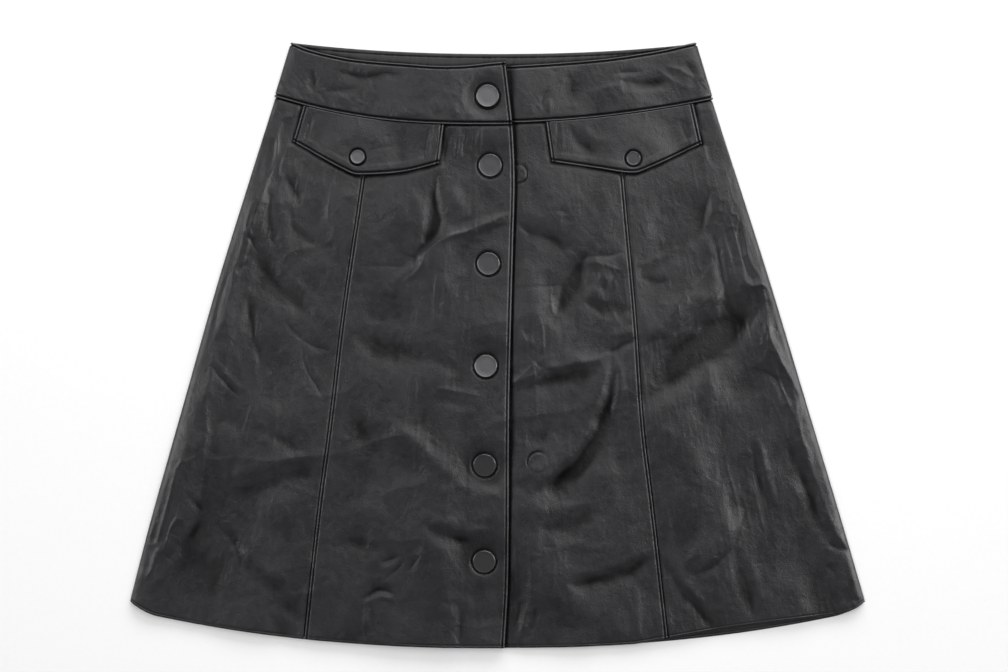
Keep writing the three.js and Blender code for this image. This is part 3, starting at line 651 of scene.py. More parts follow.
def creased(x, y, creases):
    """The heights that a table of creases gives."""
    x, y = wandering(x, y)
    z = np.zeros(x.shape)
    for crease in creases:
        add_crease(z, x, y, crease)
    return z


def swell(x, y, across, along, seed):
    """Smooth uneven swells from -1 to 1, of about that size across and along."""
    count = 160
    heights = np.random.default_rng(seed).uniform(-1, 1, (count, count))
    turn = 0.4 * math.sin(seed)
    u = (x * math.cos(turn) - y * math.sin(turn)) / across + count / 2
    v = (x * math.sin(turn) + y * math.cos(turn)) / along + count / 2
    i, j = np.floor(u).astype(int), np.floor(v).astype(int)
    u, v = u - i, v - j
    u, v = (t * t * t * (t * (6 * t - 15) + 10) for t in (u, v))
    i, j = i % (count - 1), j % (count - 1)
    low = heights[i, j] * (1 - u) + heights[i + 1, j] * u
    high = heights[i, j + 1] * (1 - u) + heights[i + 1, j + 1] * u
    return low * (1 - v) + high * v


def swells(x, y):
    """Gentle swells, with sharper crumples here and there."""
    z = sum(height * swell(x, y, across, along, seed) for across, along, height, seed in SWELLS)
    for across, along, height, seed in CRUMPLES:
        where = 0.5 + 0.5 * swell(x, y, 3 * across, 3 * along, seed + 1)
        ridge = 1 - np.abs(swell(x, y, across, along, seed))
        z = z + height * where * ridge**3
    return z


def wrinkled(x, y, wrinkles):
    """Short wrinkles that come and go in patches."""
    z = np.zeros(x.shape)
    for across, along, height, seed in wrinkles:
        patch = np.clip(0.3 + swell(x, y, 3 * across + 14, along + 14, seed + 1), 0, 1)
        ridge = 1 - np.abs(swell(x, y, across, along, seed))
        z += height * patch * (ridge**3 - 0.25)
    return z


def wandering(x, y):
    """The places that a crease's run is drawn at, so that it isn't quite even."""
    dx = sum(by * swell(x, y, across, along, seed) for across, along, by, seed in WANDER)
    dy = sum(by * swell(x, y, across, along, seed + 1) for across, along, by, seed in WANDER)
    return x + dx, y + dy


def turn_to_seam(from_side, seam_z, face_z):
    """Turns a wall down, or up, to the side seam over the last few millimetres."""
    t = (from_side - PANEL_WALL / 2) / (ROLL - PANEL_WALL / 2)
    reach = 1 - np.clip(t, 0, 1)
    return seam_z + (face_z - seam_z) * np.sqrt(1 - reach * reach)


def seam_heights(x, y):
    """Heights of the front's and back's walls at a side seam."""
    turn = past(waist_seam["back"](x) - y, 0, SIDE_SEAM_EASE)
    front = FACING_Z + (SIDE_SEAM_Z + SIDE_SEAM / 2 - FACING_Z) * turn
    back = BACK_Z + (SIDE_SEAM_Z - SIDE_SEAM / 2 - BACK_Z) * turn
    return front, back


def front_height(x, y, side):
    """Height of the middle of a front panel's wall, without the overlap's rise."""
    from_side = np.abs(side_edge[side](y) - x)
    below_waist = waist_seam[side](x) - y
    opened = past(below_waist, *AIR_OPENS)
    clear = past(x, *AIR_BESIDE_OVERLAP[side])
    if side == "left":
        creases, begun = LEFT_CREASES, past(x, *CREASES_BEGIN)
    else:
        creases, begun = RIGHT_CREASES, 1
    z = FRONT_Z + FRONT_AIR * opened * clear
    z += WAIST_RISE * (1 - past(below_waist, 0, WAIST_EASE))
    z += PUFF * opened * np.exp(-(((from_side - PUFF_AT) / PUFF_WIDTH) ** 2))
    free = past(below_waist, *CREASES_GROW)
    share = CREASES_AT_WAIST + (1 - CREASES_AT_WAIST) * free
    z += (creased(x, y, creases) + swells(x, y)) * begun * share
    z += wrinkled(x / (1 - FLARE * y), y, PANEL_WRINKLES) * begun * free
    beside = np.exp(-(((from_side - SIDE_WRINKLES_AT) / SIDE_WRINKLES_WIDTH) ** 2))
    z += beside * wrinkled(x, y, SIDE_WRINKLES[side])
    over = z - LOWEST_FRONT_Z
    z = LOWEST_FRONT_Z + (over + np.sqrt(over * over + FLOOR_SOFTNESS)) / 2
    return turn_to_seam(from_side, seam_heights(x, y)[0], z)


def snap_place(name):
    """x and y of the middle of a snap's cap."""
    low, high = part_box(f"{name}_cap")
    nearer = SNAP_1_NEARER if name == "snap_1" else 0
    return (low.x + high.x) / 2 / MM + nearer, (low.y + high.y) / 2 / MM


def right_front_height(x, y):
    """The right front climbs over the underlap and lies level at its snaps."""
    at_waist = 1 - past(waist_seam["right"](x) - y, 0, WAIST_EASE)
    rise = PANEL_WALL + SNAP_STACK + OVERLAP_WAIST_RISE * at_waist
    z = front_height(x, y, "right") + rise * past(x, *LIFT)
    pressed = FRONT_Z + PANEL_WALL + SNAP_STACK
    for name in FRONT_SNAPS:
        sx, sy = snap_place(name)
        z += (pressed - z) * (1 - past(np.hypot(x - sx, y - sy), *SNAP_PRESS))
    return z


def back_height(x, y):
    """The back lies on the surface and turns up to both side seams."""
    from_side = np.minimum(x - side_edge["right"](y), side_edge["left"](y) - x)
    z = BACK_Z + creased(x, y, BACK_CREASES)
    return turn_to_seam(from_side, seam_heights(x, y)[1], z)


def flap_height(x, y, side):
    """A flap lies on its panel and is held higher at its snap."""
    sx, sy = snap_place(FLAP_SNAPS[side])
    near_snap = 1 - past(np.hypot(x - sx, y - sy), *FLAP_SNAP_PRESS)
    lift = FLAP_LIFT + (SNAP_STACK - FLAP_LIFT) * near_snap
    panel = right_front_height(x, y) if side == "right" else front_height(x, y, side)
    bend = creased(x, y, FLAP_CREASES[side])
    return panel + (PANEL_WALL + FLAP_WALL) / 2 + lift + bend * (1 - FLAP_CALM * near_snap)


def band_height(x, y, side):
    """The front waistband, whose right end climbs over the left one and is snapped to it."""
    z = BAND_Z + creased(x, y, WAISTBAND_CREASES) + BAND_SWELLS * swells(x, y)
    z += wrinkled(x + BAND_LEAN * y, y, BAND_WRINKLES)
    if side == "right":
        z = z + (BAND_WALL + SNAP_STACK) * past(x, *LIFT)
        sx, sy = snap_place("snap_1")
        pressed = BAND_Z + BAND_WALL + SNAP_STACK
        z += (pressed - z) * (1 - past(np.hypot(x - sx, y - sy), *BAND_SNAP_PRESS))
    from_side = np.abs(side_edge[side](y) - x)
    reach = 1 - np.clip(from_side / BAND_TURN, 0, 1)
    return z - BAND_TURN_DROP * (1 - np.sqrt(1 - reach * reach))


# ---------------------------------------------------------------- relief on the face


def rounded(d, radius):
    """An edge turned over."""
    t = np.clip(1 - d / radius, 0, 1)
    return -radius * (1 - np.sqrt(1 - t * t))


def pressed_line(d, at, depth, half):
    """A soft groove at a distance, half its width over which it fades."""
    return -depth * np.exp(-(((d - at) / half) ** 2))


def stitched_edge(d, turn=EDGE_TURN):
    """A turned edge: round, then a swell, then the line that its stitches pull down."""
    swelling = -pressed_line(d - turn, at=-0.1, depth=0.28, half=0.45)
    pulled = pressed_line(d, at=STITCH_IN, depth=1.0, half=0.7)
    return rounded(d, turn) + swelling + pulled


def allowance(d, width, height):
    """The turned-in leather under an edge, which ends in a soft step."""
    return height * (1 - past(d, width - 1.5, width + 1.5))


def snap_dents(x, y, names, radius):
    """The leather is pulled down round each snap, in a groove and a faint wide dip. The groove is
    painted dark as the shade round the cap.
    """
    z = np.zeros(x.shape)
    for name in names:
        sx, sy = snap_place(name)
        away = np.hypot(x - sx, y - sy)
        z += pressed_line(away - radius, at=0.7, depth=1.0, half=0.85)
        z += pressed_line(away - radius, at=0, depth=0.2, half=0.35 * radius)
    return z


def hem_edge(x, d):
    """A hem turned and glued, with only a faint line of stitches to see."""
    pull = np.clip(0.16 + 0.14 * swell(x, 0 * x, 30, 30, 19), 0, 1)
    return rounded(d, 1.3) + pressed_line(d, at=STITCH_IN, depth=pull, half=0.5)


def waist_tuck(x, y, side):
    """A panel dives under the waistband's edge, and the dip is painted dark as the waistband's
    shadow.
    """
    return pressed_line(off(waist_seam[side], x, y), at=0, depth=0.5, half=1.6)


def seam_dive(d):
    """The plain side of a stitched seam rolls down into it."""
    return rounded(d, 0.9) + pressed_line(d, at=0, depth=0.45, half=1.3)


def beside_flap(x, y, side):
    """The leather round a flap is pressed down along its edge, and that dip is painted dark as the
    flap's shadow.
    """
    first, second, foot = flap_lines[side]
    out = np.maximum(first(y) - x, x - second(y))
    out = np.maximum(out, foot(x) - y)
    depth = 0.56 + 0.14 * swell(x, y, 9, 11, 15)
    return pressed_line(out, at=0, depth=depth, half=FLAP_PRESS_REACH)


def beside_overlap(x, y, reach):
    """What lies under the overlap is pressed down along its edge, and that dip is painted dark as the
    overlap's shadow.
    """
    return pressed_line(x - overlap_edge(y), at=0, depth=OVERLAP_PRESS, half=reach)


def front_relief(x, y, side):
    """What hem, waist seam and flap do to both panels of a front."""
    hem = hem_edge(x, off(front_hem, x, y))
    return hem + waist_tuck(x, y, side) + beside_flap(x, y, side)


def side_relief(x, y, side):
    return front_relief(x, y, side) + seam_dive(off(princess[side], y, x))


def centre_right_relief(x, y):
    z = front_relief(x, y, "right")
    z += stitched_edge(off(princess["right"], y, x), PRINCESS_TURN)
    edge = off(overlap_edge, y, x)
    z += stitched_edge(edge) + allowance(edge, OVERLAP_FACING, height=0.2)
    return z + snap_dents(x, y, FRONT_SNAPS, FRONT_SNAP_RADIUS)


def centre_left_relief(x, y):
    z = front_relief(x, y, "left")
    z += beside_overlap(x, y, pressed_reach(y))
    z += stitched_edge(off(princess["left"], y, x), PRINCESS_TURN)
    for rx, ry, radius, depth, deepest in PRESSED_RINGS:
        away = np.hypot(x - rx, y - ry)
        turn = np.arctan2(y - ry, x - rx) - math.radians(deepest)
        pressed = depth * (0.2 + 0.8 * np.maximum(0, np.cos(turn)))
        z += pressed_line(away - radius, at=0, depth=pressed, half=0.9)
        z -= pressed_line(away - radius, at=-2.2, depth=0.1, half=1.2)
    return z


def back_relief(x, y):
    return hem_edge(x, off(back_hem, x, y))


def band_relief(x, y, side):
    top = off(band_top[side], x, y)
    foot = off(waist_seam[side], x, y)
    z = stitched_edge(top) + stitched_edge(foot)
    if side == "right":
        z = z + stitched_edge(off(overlap_edge, y, x))
        return z + snap_dents(x, y, ["snap_1"], FRONT_SNAP_RADIUS)
    reach = 2.8 + 3 * past(y, 186, 216)
    return z + beside_overlap(x, y, reach)


def back_band_relief(x, y):
    return rounded(off(back_band_top, x, y), 0.8)


def facing_relief(x, y):
    """Fine upright puckers where the facing's edge was eased on."""
    top = off(moved(back_band_top, -FACING_LOWER), x, y)
    pucker = 0.14 * swell(x, y, 2.4, 12, 21) + 0.08 * swell(x, y, 1.5, 16, 22)
    front_top = np.where(x < overlap_edge(y), band_top["right"](x), band_top["left"](x))
    # a dip along the front waistband's top edge, painted dark as its shadow on the facing
    behind = pressed_line(y - front_top, at=0, depth=0.6, half=1.2)
    sewn = pressed_line(top, at=2.4, depth=0.5, half=0.6)
    return rounded(top, 0.6) + sewn + pucker + behind


def flap_relief(x, y, side):
    first, second, foot = flap_lines[side]
    edges = off(foot, x, y), off(first, y, x), off(second, y, x)
    z = allowance(np.minimum.reduce(edges), FLAP_ALLOWANCE, height=0.25)
    for d in edges:
        z = z + stitched_edge(d)
    return z + snap_dents(x, y, [FLAP_SNAPS[side]], FLAP_SNAP_RADIUS)


# ---------------------------------------------------------------- meshes


def stations(longest, step, near_start=(0,), near_end=(0,)):
    """Places across a span, each a fixed distance and a share of the whole span."""
    count = max(2, math.ceil((longest - near_start[-1] - near_end[-1]) / step))
    share = np.arange(1, count) / count
    fixed = near_start[-1] * (1 - share) - near_end[-1] * share
    start = [(d, 0) for d in near_start]
    end = [(-d, 1) for d in reversed(near_end)]
    return np.array([*start, *zip(fixed, share), *end])


def grid(right, left, foot, head, rows, columns):
    """Points of a laid piece whose grid follows all four of its edges."""
    x = np.zeros((len(rows), len(columns)))
    y = np.zeros_like(x)
    for _ in range(10):
        low = foot(x)
        y = low + rows[:, :1] + rows[:, 1:] * (head(x) - low)
        start = right(y)
        x = start + columns[:, 0] + columns[:, 1] * (left(y) - start)
    return x, y


def face_directions(points):
    """Which way a grid's face points at each of its points."""
    along, up = np.empty_like(points), np.empty_like(points)
    along[:, 1:-1] = points[:, 2:] - points[:, :-2]
    along[:, 0] = points[:, 1] - points[:, 0]
    along[:, -1] = points[:, -1] - points[:, -2]
    up[1:-1] = points[2:] - points[:-2]
    up[0] = points[1] - points[0]
    up[-1] = points[-1] - points[-2]
    out = np.cross(along, up)
    return out / np.linalg.norm(out, axis=-1, keepdims=True)


def thinned(places, gap):
    """Indices of stations at least a gap apart, and both ends."""
    kept = [0]
    for i in range(1, len(places) - 1):
        if places[i] - places[kept[-1]] >= gap and places[-1] - places[i] >= gap / 2:
            kept.append(i)
    return [*kept, len(places) - 1]


def sunk_by(z, reach):
    """How far each point of a grid lies below the mean of those around it."""
    around = z
    for axis in (0, 1, 0, 1):
        ends = [(0, 0), (0, 0)]
        ends[axis] = (reach + 1, reach)
        total = np.cumsum(np.pad(around, ends, mode="edge"), axis)
        count = around.shape[axis]
        later = np.take(total, np.arange(count) + 2 * reach + 1, axis)
        around = (later - np.take(total, np.arange(count), axis)) / (2 * reach + 1)
    return around - z


def new_mesh_object(name, points, faces, smooth_faces=None):
    """An object of points in millimetres, smooth all over unless told where."""
    mesh = bpy.data.meshes.new(f"{name}_mesh")
    mesh.from_pydata(np.asarray(points, float) * MM, [], faces)
    smooth = np.ones(len(faces), bool) if smooth_faces is None else smooth_faces
    mesh.polygons.foreach_set("use_smooth", smooth)
    mesh.update()
    made = bpy.data.objects.new(name, mesh)
    bpy.context.scene.collection.objects.link(made)
    return made


def darkness(middle, raised):
    """Painted shade on a face: how dark its pressed lines and its folds are painted, in place of the
    shade that falls in them.
    """
    shade, start, depth = LINE_SHADE
    in_line = shade * np.clip((-raised - start) / depth, 0, 1)
    in_fold = 0
    for reach, depth, share in FOLD_SHADES:
        in_fold = in_fold + share * past(sunk_by(middle[..., 2], reach), 0, depth)
    return np.clip(np.maximum(in_line, in_fold), 0, DARKEST)


def highlit_rims(raised):
    """How strong the painted highlight on a face is, which only its raised rims get."""
    reach, start, height = RIM_HIGHLIGHT
    return np.clip((-sunk_by(raised, reach) - start) / height, 0, 1)


def quads(a, b, c, d):
    return np.stack([a, b, c, d], -1).reshape(-1, 4).tolist()


def rims(top_at, low, kept_rows, kept_columns):
    """Faces that close a wall round its edges, from its fine side to its plainer one."""
    faces = []
    for k, (i, after) in enumerate(zip(kept_rows, kept_rows[1:])):
        right_run = top_at[i : after + 1, 0].tolist()
        left_run = top_at[i : after + 1, -1].tolist()
        faces.append([*right_run, int(low[k + 1, 0]), int(low[k, 0])])
        faces.append([*left_run[::-1], int(low[k, -1]), int(low[k + 1, -1])])
    for k, (j, after) in enumerate(zip(kept_columns, kept_columns[1:])):
        foot_run = top_at[0, j : after + 1].tolist()
        head_run = top_at[-1, j : after + 1].tolist()
        faces.append([*foot_run[::-1], int(low[0, k]), int(low[0, k + 1])])
        faces.append([*head_run, int(low[-1, k + 1]), int(low[-1, k])])
    return faces


def laid_piece(name, cut, heights, relief, wall):
    """A closed wall on a grid: its face fine and in relief, its other side plainer."""
    x, y = grid(*cut)
    middle = np.stack([x, y, heights(x, y)], -1)
    out = face_directions(middle)
    raised = relief(x, y)
    top = middle + out * (wall / 2 + np.maximum(raised, LEAST_WALL - wall))[..., None]
    across = np.abs(x[len(x) // 2] - x[len(x) // 2, 0])
    upward = np.abs(y[:, y.shape[1] // 2] - y[0, y.shape[1] // 2])
    kept_rows = thinned(upward, UNDERSIDE_STEP)
    kept_columns = thinned(across, UNDERSIDE_STEP)
    bottom = (middle - out * wall / 2)[np.ix_(kept_rows, kept_columns)]
    height, width = x.shape
    top_at = np.arange(height * width).reshape(height, width)
    low = height * width + np.arange(bottom.shape[0] * bottom.shape[1])
    low = low.reshape(bottom.shape[:2])
    faces = quads(top_at[:-1, :-1], top_at[:-1, 1:], top_at[1:, 1:], top_at[1:, :-1])
    faces += quads(low[:-1, :-1], low[1:, :-1], low[1:, 1:], low[:-1, 1:])
    soft = len(faces)
    faces += rims(top_at, low, kept_rows, kept_columns)
    points = np.vstack([top.reshape(-1, 3), bottom.reshape(-1, 3)])
    made = new_mesh_object(name, points, faces, np.arange(len(faces)) < soft)
    # two attributes of painted light: painted shade in pressed lines and folds, and a painted
    # highlight on raised rims
    for look, face in (("painted_shade", darkness(middle, raised)), ("rim_highlight", highlit_rims(raised))):
        values = np.zeros(len(points), np.float32)
        values[: height * width] = face.ravel()
        made.data.attributes.new(look, "FLOAT", "POINT").data.foreach_set("value", values)
    return made


# ---------------------------------------------------------------- materials


def linear(hex_colour):
    """An sRGB hex colour as linear red, green, blue and alpha."""
    parts = [int(hex_colour[i : i + 2], 16) / 255 for i in (1, 3, 5)]
    return [c / 12.92 if c <= 0.04045 else ((c + 0.055) / 1.055) ** 2.4 for c in parts] + [1]


def per_metre(millimetres):
    """Scale of a pattern that repeats about every so many millimetres."""
    return 1 / (millimetres * MM)


def node(tree, kind, settings=None, links=None):
    """Adds a node. Settings name a property or an input, and links an input."""
    made = tree.nodes.new(kind)
    for name, value in (settings or {}).items():
        if isinstance(name, str) and hasattr(made, name):
            setattr(made, name, value)
        else:
            made.inputs[name].default_value = value
    for name, socket in (links or {}).items():
        tree.links.new(socket, made.inputs[name])
    return made


def new_material(name):
    """A bare material, its nodes and the place on the object that its patterns follow."""
    material = bpy.data.materials.new(name)
    material.use_nodes = True
    tree = material.node_tree
    tree.nodes.clear()
    return material, tree, node(tree, "ShaderNodeTexCoord").outputs["Object"]


def finish_material(tree, settings, links):
    surface = node(tree, "ShaderNodeBsdfPrincipled", settings, links)
    node(tree, "ShaderNodeOutputMaterial", {}, {"Surface": surface.outputs[0]})


def black_nappa():
    """Soft nappa lambskin, drum-dyed black with a thin satin finish.

    It gives the eye a near-black surface with broad hazy highlights, a very fine grain and
    faint cloudy patches. The real grain is about 0.3 mm, drawn 1 mm so that it shows.
    Pressed lines and folds get painted shade, which stands in for the shade that falls in
    them: their colour goes near black, and Metallic rises in them only to take away the shine
    that a colour so near black would keep. Turned edges get a painted highlight: their colour
    is a little lighter.
    """
    material, tree, place = new_material("black_nappa_leather")
    drawn = node(tree, "ShaderNodeMapping", {"Scale": (1, 0.8, 1)}, {"Vector": place})
    # painted shade of the pressed lines and folds, read from the mesh
    painted_shade = node(tree, "ShaderNodeAttribute", {"attribute_name": "painted_shade"}).outputs["Fac"]
    cloud = node(
        tree, "ShaderNodeTexNoise",
        {"Scale": per_metre(34), "Detail": 4.0, "Roughness": 0.6}, {"Vector": place},
    )
    mottle = node(
        tree, "ShaderNodeTexNoise",
        {"Scale": per_metre(5), "Detail": 5.0, "Roughness": 0.65, "Distortion": 0.5},
        {"Vector": drawn.outputs[0]},
    )
    grain = node(
        tree, "ShaderNodeTexVoronoi",
        {"feature": "SMOOTH_F1", "Scale": per_metre(1.0), "Smoothness": 0.5},
        {"Vector": place},
    )
    wrinkle = node(
        tree, "ShaderNodeTexNoise",
        {
            "noise_type": "RIDGED_MULTIFRACTAL", "normalize": True,
            "Scale": per_metre(11), "Detail": 4.0, "Roughness": 0.55, "Distortion": 0.8,
        },
        {"Vector": drawn.outputs[0]},
    )
    dyed = node(
        tree, "ShaderNodeMix",
        {"data_type": "RGBA", 6: linear("#19191b"), 7: linear("#201f22")},
        {0: cloud.outputs[0]},
    )
    # painted highlight on raised rims, read from the mesh
    rim_highlight = node(tree, "ShaderNodeAttribute", {"attribute_name": "rim_highlight"}).outputs["Fac"]
    edged = node(
        tree, "ShaderNodeMix",
        {"data_type": "RGBA", 7: linear("#3b3a3d")},
        {0: rim_highlight, 6: dyed.outputs[2]},
    )
    # painted shade: the colour goes near black where shade falls
    colour = node(
        tree, "ShaderNodeMix",
        {"data_type": "RGBA", 7: linear("#030303")},
        {0: painted_shade, 6: edged.outputs[2]},
    )
    shade = node(
        tree, "ShaderNodeMapRange",
        {"From Min": 0.3, "From Max": 0.7, "To Min": 0.29, "To Max": 0.43},
        {"Value": mottle.outputs[0]},
    )
    patch = node(
        tree, "ShaderNodeMapRange",
        {"From Min": 0.3, "From Max": 0.7, "To Min": -0.05, "To Max": 0.05},
        {"Value": cloud.outputs[0]},
    )
    uneven = node(
        tree, "ShaderNodeMath", {"operation": "ADD"},
        {0: shade.outputs[0], 1: patch.outputs[0]},
    )
    fine = node(
        tree, "ShaderNodeBump",
        {"Strength": 0.5, "Distance": 0.16 * MM}, {"Height": grain.outputs[0]},
    )
    lumps = node(
        tree, "ShaderNodeBump",
        {"Strength": 0.55, "Distance": 0.55 * MM},
        {"Height": mottle.outputs[0], "Normal": fine.outputs[0]},
    )
    lines = node(
        tree, "ShaderNodeBump",
        {"Strength": 0.35, "Distance": 0.7 * MM},
        {"Height": wrinkle.outputs[0], "Normal": lumps.outputs[0]},
    )
    finish_material(
        tree,
        {"IOR": 1.5},
        {
            "Base Color": colour.outputs[2], "Roughness": uneven.outputs[0],
            "Metallic": painted_shade, "Normal": lines.outputs[0],
        },
    )
    return material


def facing_leather():
    """The same skin without the satin finish: duller, with a suede-like drag."""
    material, tree, place = new_material("facing_leather")
    spread = node(tree, "ShaderNodeMapping", {"Scale": (1, 0.18, 1)}, {"Vector": place})
    drag = node(
        tree, "ShaderNodeTexNoise",
        {"Scale": per_metre(1.6), "Detail": 4.0, "Roughness": 0.6},
        {"Vector": spread.outputs[0]},
    )
    # painted shade of the pressed lines, such as the waistband's shadow along its top edge
    painted_shade = node(tree, "ShaderNodeAttribute", {"attribute_name": "painted_shade"}).outputs["Fac"]
    worn = node(
        tree, "ShaderNodeMix",
        {"data_type": "RGBA", 6: linear("#171617"), 7: linear("#2f2d2e")},
        {0: drag.outputs[0]},
    )
    colour = node(
        tree, "ShaderNodeMix",
        {"data_type": "RGBA", 7: linear("#030303")},
        {0: painted_shade, 6: worn.outputs[2]},
    )
    bump = node(
        tree, "ShaderNodeBump",
        {"Strength": 0.6, "Distance": 0.35 * MM}, {"Height": drag.outputs[0]},
    )
    finish_material(
        tree,
        {"IOR": 1.45, "Roughness": 0.6},
        {
            "Base Color": colour.outputs[2], "Metallic": painted_shade,
            "Normal": bump.outputs[0],
        },
    )
    return material


def gunmetal():
    """Brass pressed to a cap and plated dark, then tumbled: a soft grey metal sheen."""
    material, tree, place = new_material("tumbled_gunmetal_plate")
    tumble = node(
        tree, "ShaderNodeTexNoise",
        {"Scale": per_metre(0.8), "Detail": 3.0, "Roughness": 0.6}, {"Vector": place},
    )
    rough = node(
        tree, "ShaderNodeMapRange",
        {"From Min": 0.3, "From Max": 0.7, "To Min": 0.27, "To Max": 0.36},
        {"Value": tumble.outputs[0]},
    )
    colour = node(
        tree, "ShaderNodeMix",
        {"data_type": "RGBA", 6: linear("#6b6a6c"), 7: linear("#767577")},
        {0: tumble.outputs[0]},
    )
    bump = node(
        tree, "ShaderNodeBump",
        {"Strength": 0.15, "Distance": 0.05 * MM}, {"Height": tumble.outputs[0]},
    )
    finish_material(
        tree,
        {"Metallic": 1.0},
        {
            "Base Color": colour.outputs[2], "Roughness": rough.outputs[0],
            "Normal": bump.outputs[0],
        },
    )
    return material


def dark_steel():
    """Sprung steel of the studs and sockets, blackened: seen only between the layers."""
    material, tree, place = new_material("blackened_spring_steel")
    scuff = node(
        tree, "ShaderNodeTexNoise",
        {"Scale": per_metre(1.2), "Detail": 3.0}, {"Vector": place},
    )
    colour = node(
        tree, "ShaderNodeMix",
        {"data_type": "RGBA", 6: linear("#3f3f40"), 7: linear("#565656")},
        {0: scuff.outputs[0]},
    )
    finish_material(
        tree, {"Metallic": 1.0, "Roughness": 0.42}, {"Base Color": colour.outputs[2]}
    )
    return material


def black_thread():
    """Bonded polyester thread, black: a matte twist that only just catches the light."""
    material, tree, place = new_material("black_bonded_thread")
    ply = node(
        tree, "ShaderNodeTexNoise",
        {"Scale": per_metre(0.35), "Detail": 2.0}, {"Vector": place},
    )
    colour = node(
        tree, "ShaderNodeMix",
        {"data_type": "RGBA", 6: linear("#0d0d0d"), 7: linear("#191919")},
        {0: ply.outputs[0]},
    )
    finish_material(
        tree, {"Roughness": 0.75, "IOR": 1.45}, {"Base Color": colour.outputs[2]}
    )
    return material


def pale_floor():
    """A matte white paper sweep."""
    material, tree, place = new_material("white_paper")
    tooth = node(
        tree, "ShaderNodeTexNoise", {"Scale": per_metre(4), "Detail": 2.0}, {"Vector": place}
    )
    colour = node(
        tree, "ShaderNodeMix",
        {"data_type": "RGBA", 6: linear("#f3f3f3"), 7: linear("#f6f6f6")},
        {0: tooth.outputs[0]},
    )
    finish_material(
        tree, {"Roughness": 0.95, "IOR": 1.3}, {"Base Color": colour.outputs[2]}
    )
    return material


LEATHER = black_nappa()
FACING = facing_leather()
CAP_METAL = gunmetal()
STEEL = dark_steel()
THREAD_BLACK = black_thread()

# ---------------------------------------------------------------- the sewn pieces


def placed(piece, material, nodes):
    """Gives a piece its material and body, and hides the CAD nodes that it stands for."""
    piece.data.materials.clear()
    piece.data.materials.append(material)
    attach(piece, "root")
    if nodes:
        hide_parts(*nodes)
    return piece


# Stations across a free or stitched edge, in from it, and across one that is hidden
NEAR_EDGE = [0, 0.15, 0.4, 0.7, 1.05, 1.4, 1.75, 2.05, 2.35, 2.7, 3.2, 4.0]
HIDDEN_EDGE = [0, 2, 4, 8, 12, 16, 20, 24, 28]
ROLL_STATIONS = [
    PANEL_WALL / 2 + (ROLL - PANEL_WALL / 2) * (1 - math.cos(math.radians(angle)))
    for angle in (0, 12, 24, 36, 48, 60, 70, 80, 90)
]
FINE = 1.05  # between stations of a front's face
FRONT_ROWS = stations(425, FINE, NEAR_EDGE, [0, 0.8, 1.6, 2.4, 3.2])
BAND_ROWS = stations(48, 0.9, NEAR_EDGE, NEAR_EDGE)
FACING_IN = 3.0  # from the side edges in to the facing's ends
FACING_LOWER = 0.8  # than the back waistband's top edge


def front_cut(right, left, side, columns):
    """Edges and stations of a front panel, which runs from the hem to the waist seam."""
    return right, left, front_hem, moved(waist_seam[side], -SEAM), FRONT_ROWS, columns


def flap_piece(side):
    """A flap's row in the table of the pieces."""
    first, second, foot = flap_lines[side]
    rows = stations(46, 0.7, NEAR_EDGE, [0])
    columns = stations(118, 0.7, NEAR_EDGE, NEAR_EDGE)
    return (
        (first, second, foot, moved(waist_seam[side], -SEAM), rows, columns),
        partial(flap_height, side=side), partial(flap_relief, side=side), FLAP_WALL,
    )


